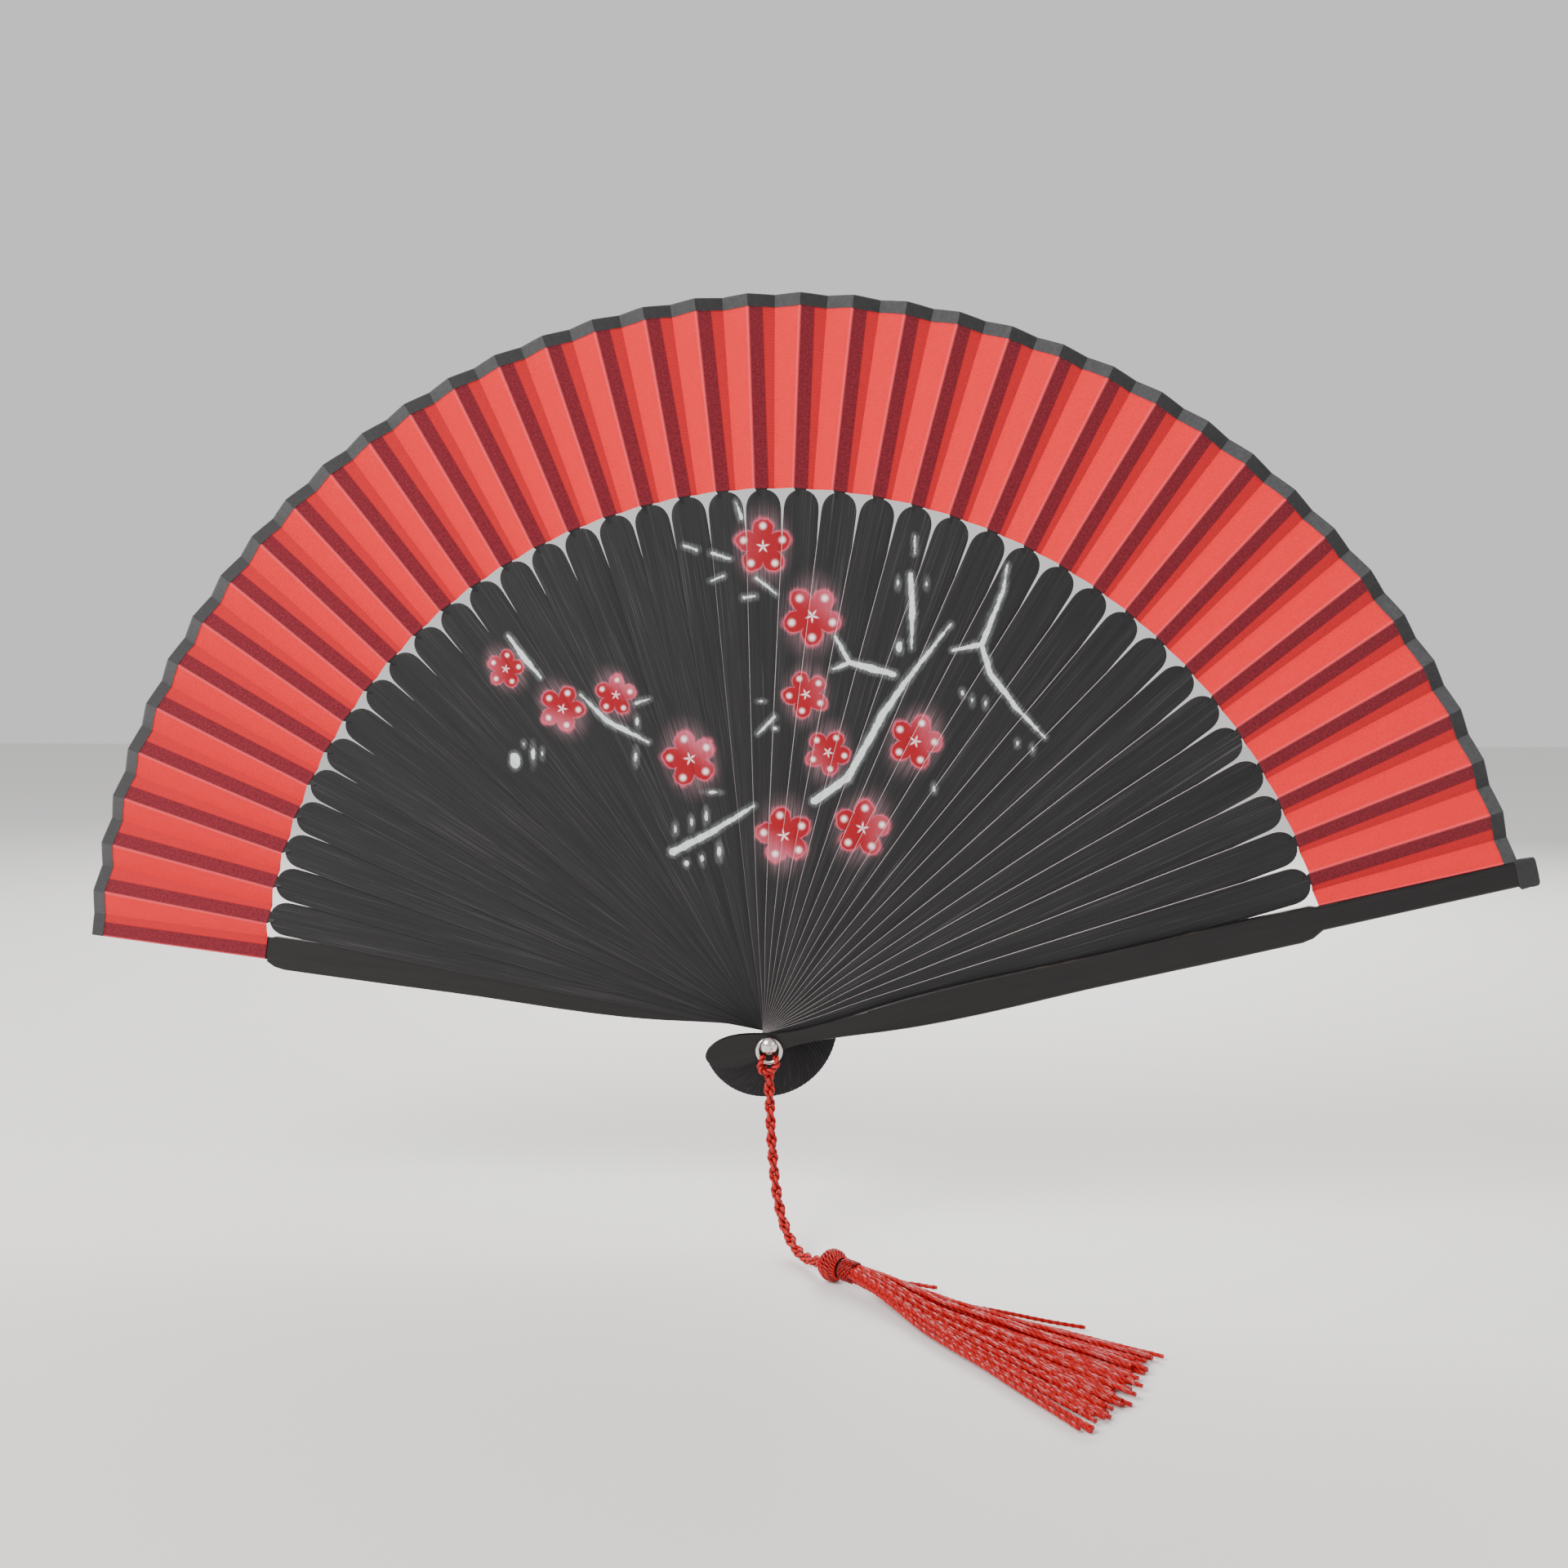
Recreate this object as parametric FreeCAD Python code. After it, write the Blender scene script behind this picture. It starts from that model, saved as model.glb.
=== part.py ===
import FreeCAD, Part
import math
import os

# A pleated cloth folding fan with forty sticks, spread open as it is shown.
# Millimetres. The fan lies in the XZ plane and opens upwards (+Z). Its rivet runs along Y through the
# origin, in the middle of the stack of sticks, and its painted front faces -Y.
# Every stick is drawn along its own axis: x runs from the rivet to the tip, u to its left, y to the back.

# the stack of sticks
ribs = 38
rear = ribs + 1                     # sticks are counted from the front guard, 0, to the rear guard
first_angle = 13.4                  # front guard's direction above +X, degrees
step_angle = 4.083                  # one stick's turn from the next, fully open
level_step = 0.6                    # from one stick's mid-plane to the next
rib_thickness = 0.45
guard_thickness = 2.2
stick_gap = level_step - rib_thickness

# a stick's outline
head_length = 16.7                  # from the rivet to the end of the head
head_width = 8.0
waist_width = 5.2                   # at the rivet
blade_width = 8.9
guard_width = 8.7
blade_tip = 140.7                   # from the rivet to the round tip
tip_round = 6.1                     # length of the tip's half ellipse
head_round = 7.7
hole_radius = 1.25

# a rib's slip, the thin strip that is glued behind the leaf
slip_width = 3.9
slip_thickness = 0.3
slip_end = 186.4
slip_lean = 0.92                    # the slip's left edge leads the rib's axis by this, degrees
slip_tilt = 22.0                    # the open leaf turns the slip about its length, degrees
root_width = 1.1                    # the slim neck between the round tip and the slip
root_thickness = 0.3

# a guard's narrow end, where the leaf's end is glued to its inner face
guard_tip = 193.2                   # the front one's; its square end shows past the leaf
rear_guard_tip = 188.4              # the rear one's; it stays behind the leaf and its ribbon
guard_shoulder = 139.0
guard_near_edge = 3.85              # to the side that meets the leaf
guard_far_edge = 2.35
guard_recess = 1.2
guard_edge_round = 0.7
head_relief = 0.4                   # the outer side is this much lower at the head, below the rivet's neck
relief_start = 12.0                 # it rises to the full thickness between these two distances
relief_end = 26.0

# the leaf and the ribbon folded over its outer edge
leaf_inner = 140.95
leaf_outer = 189.7
leaf_thickness = 0.16
leaf_to_slip = 0.05
valley_lag = 1.14                   # valley folds follow the rib's axis by this, degrees
ribbon_width = 3.0
ribbon_thickness = 0.12
ribbon_gap = 0.02

# the rivet
pin_radius = 1.2
neck_radius = 0.8
neck_length = 1.95
dome_radius = 2.15
dome_height = 1.7
back_dome_height = 1.1
washer_radius = 1.9
washer_thickness = 0.3

# the tassel: ring, hitch, cord, knob, binding and skirt
ring_wire = 0.55
ring_radius = 2.95
hitch_size = (4.6, 2.0, 3.5)
hitch_round = 0.9
cord_radius = 1.2
knob_radius = 3.7
binding_radius = 2.6
binding_length = 4.2

os.makedirs("parts", exist_ok=True)
vec = FreeCAD.Vector
origin = vec(0, 0, 0)
inner_face = ribs / 2 * level_step - level_step / 2 + rib_thickness / 2 + stick_gap
outer_face = inner_face + guard_thickness
seat_face = outer_face - head_relief
tilt_slope = math.tan(math.radians(slip_tilt))


def save(name, shape):
    """One node, with its volume, so that a broken solid shows at once."""
    if not shape.isValid():
        print("NOT VALID:", name)
    shape.exportStep("parts/" + name + ".step")
    print("%-20s %10.2f mm3  solids %d" % (name, shape.Volume, len(shape.Solids)))


def stick_level(number):
    """A stick's mid-plane along Y, as if all forty were equally thick."""
    return (number - rear / 2) * level_step


def stick_angle(number):
    return first_angle + number * step_angle


def placed(shape, number):
    """A stick drawn along +X is turned about the rivet to its place in the open fan."""
    shape.rotate(origin, vec(0, -1, 0), stick_angle(number))
    return shape


def smooth_side(points):
    """The long edge of a stick, a spline that leaves and arrives along the stick."""
    curve = Part.BSplineCurve()
    curve.interpolate(Points=points, InitialTangent=vec(1, 0, 0), FinalTangent=vec(1, 0, 0))
    return curve.toShape()


def half_ellipse(centre_x, along, across, outward):
    """A round end: half of an ellipse in the stick's plane, bulging to +x or -x."""
    top = vec(centre_x, 0, across)
    far = vec(centre_x + outward * along, 0, 0)
    bottom = vec(centre_x, 0, -across)
    if along >= across:
        ellipse = Part.Ellipse(far, top, vec(centre_x, 0, 0))
    else:
        ellipse = Part.Ellipse(top, far, vec(centre_x, 0, 0))
    first = ellipse.parameter(bottom)
    last = ellipse.parameter(top)
    arc = Part.ArcOfEllipse(ellipse, first, last)
    if (arc.value((arc.FirstParameter + arc.LastParameter) / 2) - far).Length > 0.01:
        arc = Part.ArcOfEllipse(ellipse, last, first)
    return arc.toShape()


def plate(edges, front, thickness):
    """A flat stick blank, cut to its outline, from y = front to front + thickness."""
    wire = Part.Wire(Part.sortEdges(edges)[0])
    blank = Part.Face(wire).extrude(vec(0, thickness, 0))
    blank.translate(vec(0, front, 0))
    return blank


def stick_sides(far_x, far_half):
    """Both long edges, from the head's round end past the waist at the rivet to the widest place."""
    head_x = head_round - head_length
    half = [(head_x, head_width / 2), (0.0, waist_width / 2), (30.0, 3.45), (75.0, 4.15), (far_x, far_half)]
    left = smooth_side([vec(x, 0, u) for x, u in half])
    right = smooth_side([vec(x, 0, -u) for x, u in half])
    return [left, right, half_ellipse(head_x, head_round, head_width / 2, -1)]


def pin_hole():
    return Part.makeCylinder(hole_radius, 60, vec(0, -30, 0), vec(0, 1, 0))


def slip_mid():
    """The slip's centre line at its two ends, and the line's direction, in the stick's frame."""
    lean = math.radians(slip_lean)
    along = vec(math.cos(lean), 0, math.sin(lean))
    across = vec(-math.sin(lean), 0, math.cos(lean)) * math.cos(math.radians(slip_tilt))
    start = along * (blade_tip + 0.2) - across * (slip_width / 2)
    end = along * slip_end - across * (slip_width / 2)
    return start, end, along


def slip():
    """The thin strip past the round tip, turned about its length to lie along the pleat."""
    start, end, along = slip_mid()
    strip = Part.makeBox((end - start).Length, slip_thickness, slip_width)
    strip.translate(vec(0, -slip_thickness / 2, -slip_width / 2))
    strip.rotate(origin, vec(1, 0, 0), slip_tilt)
    strip.rotate(origin, vec(0, -1, 0), slip_lean)
    strip.translate(start)
    return strip


def slip_root():
    """A short flat root that joins the slip's middle to the blade's tip."""
    start, end, along = slip_mid()
    root = Part.makeBox(3.2, root_thickness, root_width)
    root.translate(vec(-2.9, -root_thickness / 2, -root_width / 2))
    root.rotate(origin, vec(0, -1, 0), slip_lean)
    root.translate(start)
    return root


def rib(number):
    """One inner stick: head, waist, widening blade with a round tip, and the slip."""
    widest = blade_tip - tip_round
    edges = stick_sides(widest, blade_width / 2)
    edges.append(half_ellipse(widest, tip_round, blade_width / 2, 1))
    blade = plate(edges, -rib_thickness / 2, rib_thickness)
    whole = blade.fuse([slip_root(), slip()]).removeSplitter().cut(pin_hole())
    whole.translate(vec(0, stick_level(number), 0))
    return placed(whole.Solids[0], number)


def guard(number, side):
    """An outer stick, thick and rounded outside. side is -1 for the front one and 1 for the rear one."""
    near = -side * guard_near_edge
    far = side * guard_far_edge
    half = guard_width / 2
    tip = rear_guard_tip if side > 0 else guard_tip
    wide_end = guard_shoulder - 4.0
    edges = stick_sides(wide_end, half)
    corners = [
        vec(wide_end, 0, -side * half),
        vec(guard_shoulder - 0.6, 0, -side * half),
        vec(guard_shoulder + 0.9, 0, near),
        vec(tip - 0.8, 0, near),
        vec(tip, 0, near + side * 0.8),
        vec(tip, 0, far - side * 0.8),
        vec(tip - 0.8, 0, far),
        vec(guard_shoulder + 1.6, 0, far),
        vec(guard_shoulder - 1.2, 0, side * (half - 0.5)),
        vec(wide_end, 0, side * half),
    ]
    for a, b in zip(corners, corners[1:]):
        edges.append(Part.makeLine(a, b))
    front = inner_face if side > 0 else -outer_face
    body = plate(edges, front, guard_thickness)
    outside = side * outer_face
    rim = [e for e in body.Edges if all(abs(v.Point.y - outside) < 1e-6 for v in e.Vertexes)]
    body = body.makeFillet(guard_edge_round, rim)
    recess = Part.makeBox(80, guard_recess, 20, vec(leaf_inner - 0.9, -guard_recess / 2, -10))
    recess.translate(vec(0, side * (inner_face + guard_recess / 2), 0))
    whole = body.cut([recess, head_wedge(side), pin_hole()])
    return placed(whole.Solids[0], number)


def head_wedge(side):
    """What is planed off a guard's outer side, from the head to a slope above the rivet."""
    low = side * (outer_face - head_relief)
    top = side * outer_face
    clear = side * (outer_face + 1.0)
    profile = [
        vec(-30, low, 0),
        vec(relief_start, low, 0),
        vec(relief_end, top, 0),
        vec(relief_end, clear, 0),
        vec(-30, clear, 0),
    ]
    wedge = Part.Face(Part.makePolygon(profile + profile[:1])).extrude(vec(0, 0, 20))
    wedge.translate(vec(0, 0, -10))
    return wedge


def fold_line(number, u_of_x, y_of_x):
    """Where a fold crosses a given radius, as a function of that radius, in the fan's frame."""
    turn = math.radians(stick_angle(number))

    def at(radius):
        u = u_of_x(radius)
        x = math.sqrt(radius * radius - u * u)
        along = x * math.cos(turn) - u * math.sin(turn)
        up = x * math.sin(turn) + u * math.cos(turn)
        return along, y_of_x(radius), up

    return at


def leaf_folds():
    """All fold lines from the front guard to the rear one: mountains stand out to the front."""
    lead = math.radians(slip_lean)
    lag = math.radians(valley_lag)
    cosine = math.cos(math.radians(slip_tilt))
    offset = (slip_thickness / 2 + leaf_to_slip + leaf_thickness / 2) / cosine
    ridge = -offset - tilt_slope * slip_width / 2 * cosine
    glued = inner_face + guard_recess - leaf_to_slip - leaf_thickness / 2 - ribbon_gap - ribbon_thickness
    lines = [
        fold_line(0, lambda r: -guard_far_edge + 0.1, lambda r: -glued),
        fold_line(0, lambda r: guard_near_edge + 0.05, lambda r: -glued),
    ]
    for number in range(1, rear):
        level = stick_level(number)

        def valley_depth(r, level=level):
            return level + ridge + tilt_slope * r * (math.sin(lead) + math.sin(lag))

        lines.append(fold_line(number, lambda r: -r * math.sin(lag), valley_depth))
        lines.append(fold_line(number, lambda r: r * math.sin(lead), lambda r, level=level: level + ridge))
    lines.append(fold_line(rear, lambda r: -guard_near_edge - 0.05, lambda r: glued))
    lines.append(fold_line(rear, lambda r: guard_far_edge - 0.1, lambda r: glued))
    return lines


def flat_faces(corners):
    """A four-cornered face, or the two triangles that stand for it where it is twisted."""
    a, b, c, d = corners
    normal = (b - a).cross(d - a)
    normal.normalize()
    if abs((c - a).dot(normal)) < 1e-6:
        return [Part.Face(Part.makePolygon([a, b, c, d, a]))]
    return [Part.Face(Part.makePolygon([a, b, c, a])), Part.Face(Part.makePolygon([a, c, d, a]))]


def pleated(lines, section):
    """A solid that runs along all the folds with one section, given as (radius, offset along Y)."""
    rows = []
    for line in lines:
        points = []
        for radius, shift in section:
            x, y, z = line(radius)
            points.append(vec(x, y + shift, z))
        rows.append(points)
    count = len(section)
    faces = []
    for here, there in zip(rows, rows[1:]):
        for k in range(count):
            m = (k + 1) % count
            faces += flat_faces([here[k], there[k], there[m], here[m]])
    for end in (rows[0], rows[-1]):
        faces.append(Part.Face(Part.makePolygon(end + end[:1])))
    solid = Part.Solid(Part.makeShell(faces))
    if solid.Volume < 0:
        solid.reverse()
    return solid


def leaf():
    half = leaf_thickness / 2
    return pleated(leaf_folds(), [(leaf_inner, -half), (leaf_outer, -half), (leaf_outer, half), (leaf_inner, half)])


def edge_ribbon():
    """A narrow ribbon folded over the leaf's outer edge, a U in section."""
    inside = leaf_thickness / 2 + ribbon_gap
    outside = inside + ribbon_thickness
    open_end = leaf_outer - ribbon_width
    fold = leaf_outer + ribbon_gap
    section = [
        (open_end, -outside),
        (fold + ribbon_thickness, -outside),
        (fold + ribbon_thickness, outside),
        (open_end, outside),
        (open_end, inside),
        (fold, inside),
        (fold, -inside),
        (open_end, -inside),
    ]
    return pleated(leaf_folds(), section)


def turned(profile):
    """A solid turned about the rivet's axis from (y, radius) points."""
    points = [vec(radius, y, 0) for y, radius in profile]
    face = Part.Face(Part.makePolygon(points + points[:1]))
    return face.revolve(origin, vec(0, 1, 0), 360)


def dome(start, direction, radius, height):
    """A rivet head: a flat-backed cap of a sphere on a short rim."""
    rim = 0.35
    rise = height - rim
    ball = (radius * radius + rise * rise) / (2 * rise)
    cap = Part.makeSphere(ball, vec(0, start + direction * (height - ball), 0))
    stock = Part.makeCylinder(radius, height, vec(0, start, 0), vec(0, direction, 0))
    return cap.common(stock)


def rivet_pin():
    """The shaft through all the sticks, with a thinner neck in front for the ring."""
    back = seat_face + washer_thickness + 0.6
    front = seat_face + neck_length + 0.7
    return turned([
        (-front, 0),
        (-front, neck_radius),
        (-seat_face, neck_radius),
        (-seat_face, pin_radius),
        (back, pin_radius),
        (back, 0),
    ])


def rivet_front_dome():
    """The bright head in front, drilled for the end of the neck."""
    start = -seat_face - neck_length
    socket = Part.makeCylinder(neck_radius, 0.7, vec(0, start, 0), vec(0, -1, 0))
    return dome(start, -1, dome_radius, dome_height).cut(socket)


def rivet_washer():
    disc = Part.makeCylinder(washer_radius, washer_thickness, vec(0, seat_face, 0), vec(0, 1, 0))
    return disc.cut(Part.makeCylinder(pin_radius, washer_thickness, vec(0, seat_face, 0), vec(0, 1, 0)))


def rivet_back_dome():
    """The flatter head behind, closed over the pin's end."""
    start = seat_face + washer_thickness
    socket = Part.makeCylinder(pin_radius, 0.6, vec(0, start, 0), vec(0, 1, 0))
    return dome(start, 1, dome_radius - 0.25, back_dome_height).cut(socket)


def tassel_ring():
    """The wire ring that hangs on the rivet's neck."""
    centre = vec(0, ring_plane(), ring_drop())
    return Part.makeTorus(ring_radius, ring_wire, centre, vec(0, 1, 0))


def ring_plane():
    return -seat_face - neck_length / 2


def ring_drop():
    return neck_radius + 0.05 - (ring_radius - ring_wire)


def hitch_bottom():
    return ring_drop() - ring_radius - hitch_size[2] / 2 - 0.6


def tassel_hitch():
    """The cord's loop round the ring, drawn as one rounded lump with the ring's wire cut out."""
    wide, deep, high = hitch_size
    lump = Part.makeBox(wide, deep, high)
    lump.translate(vec(-wide / 2, cord_start().y - deep / 2, hitch_bottom()))
    lump = lump.makeFillet(hitch_round, lump.Edges)
    wire = Part.makeTorus(ring_radius, ring_wire + 0.02, vec(0, ring_plane(), ring_drop()), vec(0, 1, 0))
    return lump.cut(wire)


def cord_start():
    return vec(0, ring_plane() - 0.3, hitch_bottom())


# the cord's route: it hangs from the hitch, bends forward and lies down towards the knob
cord_route = [
    cord_start(),
    vec(0.2, -14.9, -15.5),
    vec(0.9, -16.3, -26.5),
    vec(2.0, -18.6, -36.5),
    vec(4.4, -22.8, -44.2),
    vec(8.0, -29.4, -48.0),
    vec(12.2, -36.4, -47.6),
    vec(14.6, -39.8, -46.1),
]
skirt_end = vec(77.7, -97.5, -46.8)


def round_path(points, report):
    """Straight runs joined by arcs, each arc as large as its two runs allow."""
    edges = []
    start = points[0]
    length = 0.0
    for a, b, c in zip(points, points[1:], points[2:]):
        before = b - a
        after = c - b
        turn = before.getAngle(after)
        reach = 0.45 * min(before.Length, after.Length)
        radius = reach / math.tan(turn / 2)
        before.normalize()
        after.normalize()
        first = b - before * reach
        last = b + after * reach
        inward = after - before
        inward.normalize()
        centre_gap = radius / math.cos(turn / 2)
        middle = b + inward * (centre_gap - radius)
        edges.append(Part.makeLine(start, first))
        edges.append(Part.Arc(first, middle, last).toShape())
        length += (first - start).Length + radius * turn
        report.append(radius)
        start = last
    edges.append(Part.makeLine(start, points[-1]))
    length += (points[-1] - start).Length
    return Part.Wire(edges), length


def tassel_cord():
    radii = []
    path, length = round_path(cord_route, radii)
    direction = cord_route[1] - cord_route[0]
    ring = Part.Wire(Part.makeCircle(cord_radius, cord_route[0], direction))
    tube = path.makePipeShell([ring], True, False)
    print("cord length %.1f, arc radii %s" % (length, [round(r, 1) for r in radii]))
    print("cord volume / section x length = %.4f" % (tube.Volume / (math.pi * cord_radius ** 2 * length)))
    return Part.Solid(tube) if tube.ShapeType != "Solid" else tube


def tassel_axis():
    """The direction in which the knob, binding and skirt lie."""
    return (skirt_end - cord_route[-1]).normalize()


def knob_centre():
    return cord_route[-1] + tassel_axis() * (knob_radius - 0.25)


def tassel_knob():
    """The round head of the tassel, flattened where the cord enters and where it is bound."""
    axis = tassel_axis()
    ball = Part.makeSphere(knob_radius, knob_centre())
    keep = Part.makeCylinder(knob_radius + 1, 2 * knob_radius - 0.7, cord_route[-1], axis)
    cord_end = Part.makeCylinder(cord_radius + 0.02, 6, cord_route[-1], cord_route[-2] - cord_route[-1])
    return ball.common(keep).cut(cord_end)


def binding_start():
    return cord_route[-1] + tassel_axis() * (2 * knob_radius - 0.7)


def tassel_binding():
    """The thread wound round the neck under the knob."""
    return Part.makeCylinder(binding_radius, binding_length, binding_start(), tassel_axis())


def oval(centre, wide, high):
    """A lying oval across the skirt."""
    axis = tassel_axis()
    side = axis.cross(vec(0, 0, 1)).normalize()
    up = side.cross(axis).normalize()
    ellipse = Part.Ellipse(centre + side * wide, centre + up * high, centre)
    return Part.Wire(ellipse.toShape())


def tassel_skirt():
    """The loose strands, drawn as one flattened cone that lies on the table."""
    axis = tassel_axis()
    start = binding_start() + axis * binding_length
    reach = (skirt_end - start).Length
    sections = [oval(start, 2.5, 2.4)]
    for share, wide, high in ((0.35, 6.2, 3.2), (0.75, 10.8, 3.0), (1.0, 13.5, 2.6)):
        sections.append(oval(start + axis * (reach * share), wide, high))
    return Part.makeLoft(sections, True, True)


save("front_guard", guard(0, -1))
for number in range(1, rear):
    save("rib_%02d" % number, rib(number))
save("rear_guard", guard(rear, 1))
save("leaf", leaf())
save("edge_ribbon", edge_ribbon())
save("rivet_pin", rivet_pin())
save("rivet_front_dome", rivet_front_dome())
save("rivet_washer", rivet_washer())
save("rivet_back_dome", rivet_back_dome())
save("tassel_ring", tassel_ring())
save("tassel_hitch", tassel_hitch())
save("tassel_cord", tassel_cord())
save("tassel_knob", tassel_knob())
save("tassel_binding", tassel_binding())
save("tassel_skirt", tassel_skirt())
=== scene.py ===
import math

import bmesh
import bpy
from mathutils import Matrix, Vector


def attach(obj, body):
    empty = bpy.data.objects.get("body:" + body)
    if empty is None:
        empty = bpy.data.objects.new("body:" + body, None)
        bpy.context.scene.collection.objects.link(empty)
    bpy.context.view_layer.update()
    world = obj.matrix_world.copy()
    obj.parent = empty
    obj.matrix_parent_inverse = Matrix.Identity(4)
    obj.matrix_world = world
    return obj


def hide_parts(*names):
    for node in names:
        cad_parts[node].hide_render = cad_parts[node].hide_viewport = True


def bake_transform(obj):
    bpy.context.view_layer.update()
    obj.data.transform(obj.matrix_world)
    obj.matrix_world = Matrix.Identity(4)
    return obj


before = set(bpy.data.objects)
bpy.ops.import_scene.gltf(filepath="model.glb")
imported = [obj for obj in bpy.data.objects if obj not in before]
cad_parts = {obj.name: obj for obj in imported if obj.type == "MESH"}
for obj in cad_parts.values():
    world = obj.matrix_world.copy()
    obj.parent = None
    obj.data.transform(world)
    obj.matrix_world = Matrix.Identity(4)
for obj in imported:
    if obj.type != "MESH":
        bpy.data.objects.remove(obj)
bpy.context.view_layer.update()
scene = bpy.context.scene

# The view and the light
# The fan is seen from in front and a little above its rivet, wide open. One big soft light hangs above
# on the left, weak ones fill in from the right and from behind, and the floor is plain and pale.
camera = bpy.data.objects.new("camera", bpy.data.cameras.new("camera"))
camera.data.sensor_width = 36.0
camera.data.lens = 36.86
camera.data.clip_start = 0.01
camera.location = (0.0274, -0.4139, 0.0925)
camera.rotation_euler = (math.radians(86.23), 0.0, math.radians(3.38))
scene.collection.objects.link(camera)
scene.camera = camera

for light_name, place, aim, width, power, tint in (
    ("light_above", (-0.72, -0.72, 0.85), (0.0, 0.0, 0.08), 0.9, 25.0, (1.0, 0.985, 0.965)),
    ("light_right", (0.95, -0.60, 0.45), (0.0, 0.0, 0.05), 0.7, 2.5, (1.0, 0.97, 0.95)),
    ("light_behind", (0.10, 0.75, 0.55), (0.0, 0.0, 0.12), 0.8, 11.0, (1.0, 0.98, 0.96)),
):
    lamp = bpy.data.lights.new(light_name, "AREA")
    lamp.shape = "DISK"
    lamp.size = width
    lamp.energy = power
    lamp.color = tint
    light = bpy.data.objects.new(light_name, lamp)
    light.location = place
    light.rotation_euler = (Vector(aim) - Vector(place)).to_track_quat("-Z", "Y").to_euler()
    scene.collection.objects.link(light)

scene.world = bpy.data.worlds.new("pale room")
scene.world.use_nodes = True
scene.world.node_tree.nodes["Background"].inputs["Color"].default_value = (0.86, 0.855, 0.85, 1.0)
scene.world.node_tree.nodes["Background"].inputs["Strength"].default_value = 0.92

floor_level = -0.050
floor = bpy.data.objects.new("floor", bpy.data.meshes.new("floor"))
floor.data.from_pydata(
    [(x, y, floor_level) for x, y in ((-3, -3), (3, -3), (3, 3), (-3, 3))], [], [(0, 1, 2, 3)]
)
floor_finish = bpy.data.materials.new("pale floor")
floor_finish.use_nodes = True
floor_finish.node_tree.nodes["Principled BSDF"].inputs["Base Color"].default_value = (0.80, 0.79, 0.78, 1.0)
floor_finish.node_tree.nodes["Principled BSDF"].inputs["Roughness"].default_value = 0.6
floor.data.materials.append(floor_finish)
scene.collection.objects.link(floor)


# The ribs
# Thirty-eight flat slips of hardwood or bamboo, sawn to one outline, dyed black and polished, each with a
# hole for the rivet and a thin strip past its round tip that is glued behind the leaf. Blossoms and twigs
# are sprayed and brushed across the fronts of the ribs after the fan is opened.
class Value:
    """One socket's value. Sums and products of it add their Math nodes."""

    def __init__(self, graph, socket):
        self.graph = graph
        self.socket = socket

    def __add__(self, other):
        return self.graph.math("ADD", self, other)

    def __sub__(self, other):
        return self.graph.math("SUBTRACT", self, other)

    def __rsub__(self, other):
        return self.graph.math("SUBTRACT", other, self)

    def __mul__(self, other):
        return self.graph.math("MULTIPLY", self, other)

    def __truediv__(self, other):
        return self.graph.math("DIVIDE", self, other)

    def __rtruediv__(self, other):
        return self.graph.math("DIVIDE", other, self)

    def __pow__(self, other):
        return self.graph.math("POWER", self, other)

    def __abs__(self):
        return self.graph.math("ABSOLUTE", self)

    def __gt__(self, other):
        return self.graph.math("GREATER_THAN", self, other)

    __radd__ = __add__
    __rmul__ = __mul__


class Graph:
    """The nodes of one material or of one shape."""

    def __init__(self, tree):
        self.tree = tree

    def node(self, kind, settings=None, inputs=None):
        made = self.tree.nodes.new(kind)
        for name, setting in (settings or {}).items():
            if name == "curve":
                points = made.mapping.curves[0].points
                while len(points) < len(setting):
                    points.new(0.5, 0.5)
                for point, place in zip(points, setting):
                    point.location = place
                made.mapping.update()
            else:
                setattr(made, name, setting)
        for name, value in (inputs or {}).items():
            if isinstance(value, Value):
                self.tree.links.new(value.socket, made.inputs[name])
            else:
                made.inputs[name].default_value = value
        return made

    def get(self, kind, settings=None, inputs=None, output=0):
        return Value(self, self.node(kind, settings, inputs).outputs[output])

    def math(self, operation, *terms):
        return self.get("ShaderNodeMath", {"operation": operation}, dict(enumerate(terms)))

    def over_all(self, operation, values):
        """The largest or the smallest of several values, or None if there are none."""
        best = None
        for value in values:
            best = value if best is None else self.math(operation, best, value)
        return best

    def clamp(self, value, low=0.0, high=1.0):
        return self.get("ShaderNodeClamp", None, {0: value, 1: low, 2: high})

    def smooth(self, value, low, high):
        """0 below low and 1 above high, or the other way round, with an even turn between them."""
        settings = {"interpolation_type": "SMOOTHSTEP"}
        if low < high:
            return self.get("ShaderNodeMapRange", settings, {0: value, 1: low, 2: high, 3: 0.0, 4: 1.0})
        return self.get("ShaderNodeMapRange", settings, {0: value, 1: high, 2: low, 3: 1.0, 4: 0.0})

    def parts(self, vector):
        made = self.node("ShaderNodeSeparateXYZ", None, {0: vector})
        return [Value(self, made.outputs[k]) for k in range(3)]

    def point(self, x, y, z):
        return self.get("ShaderNodeCombineXYZ", None, {0: x, 1: y, 2: z})


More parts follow.
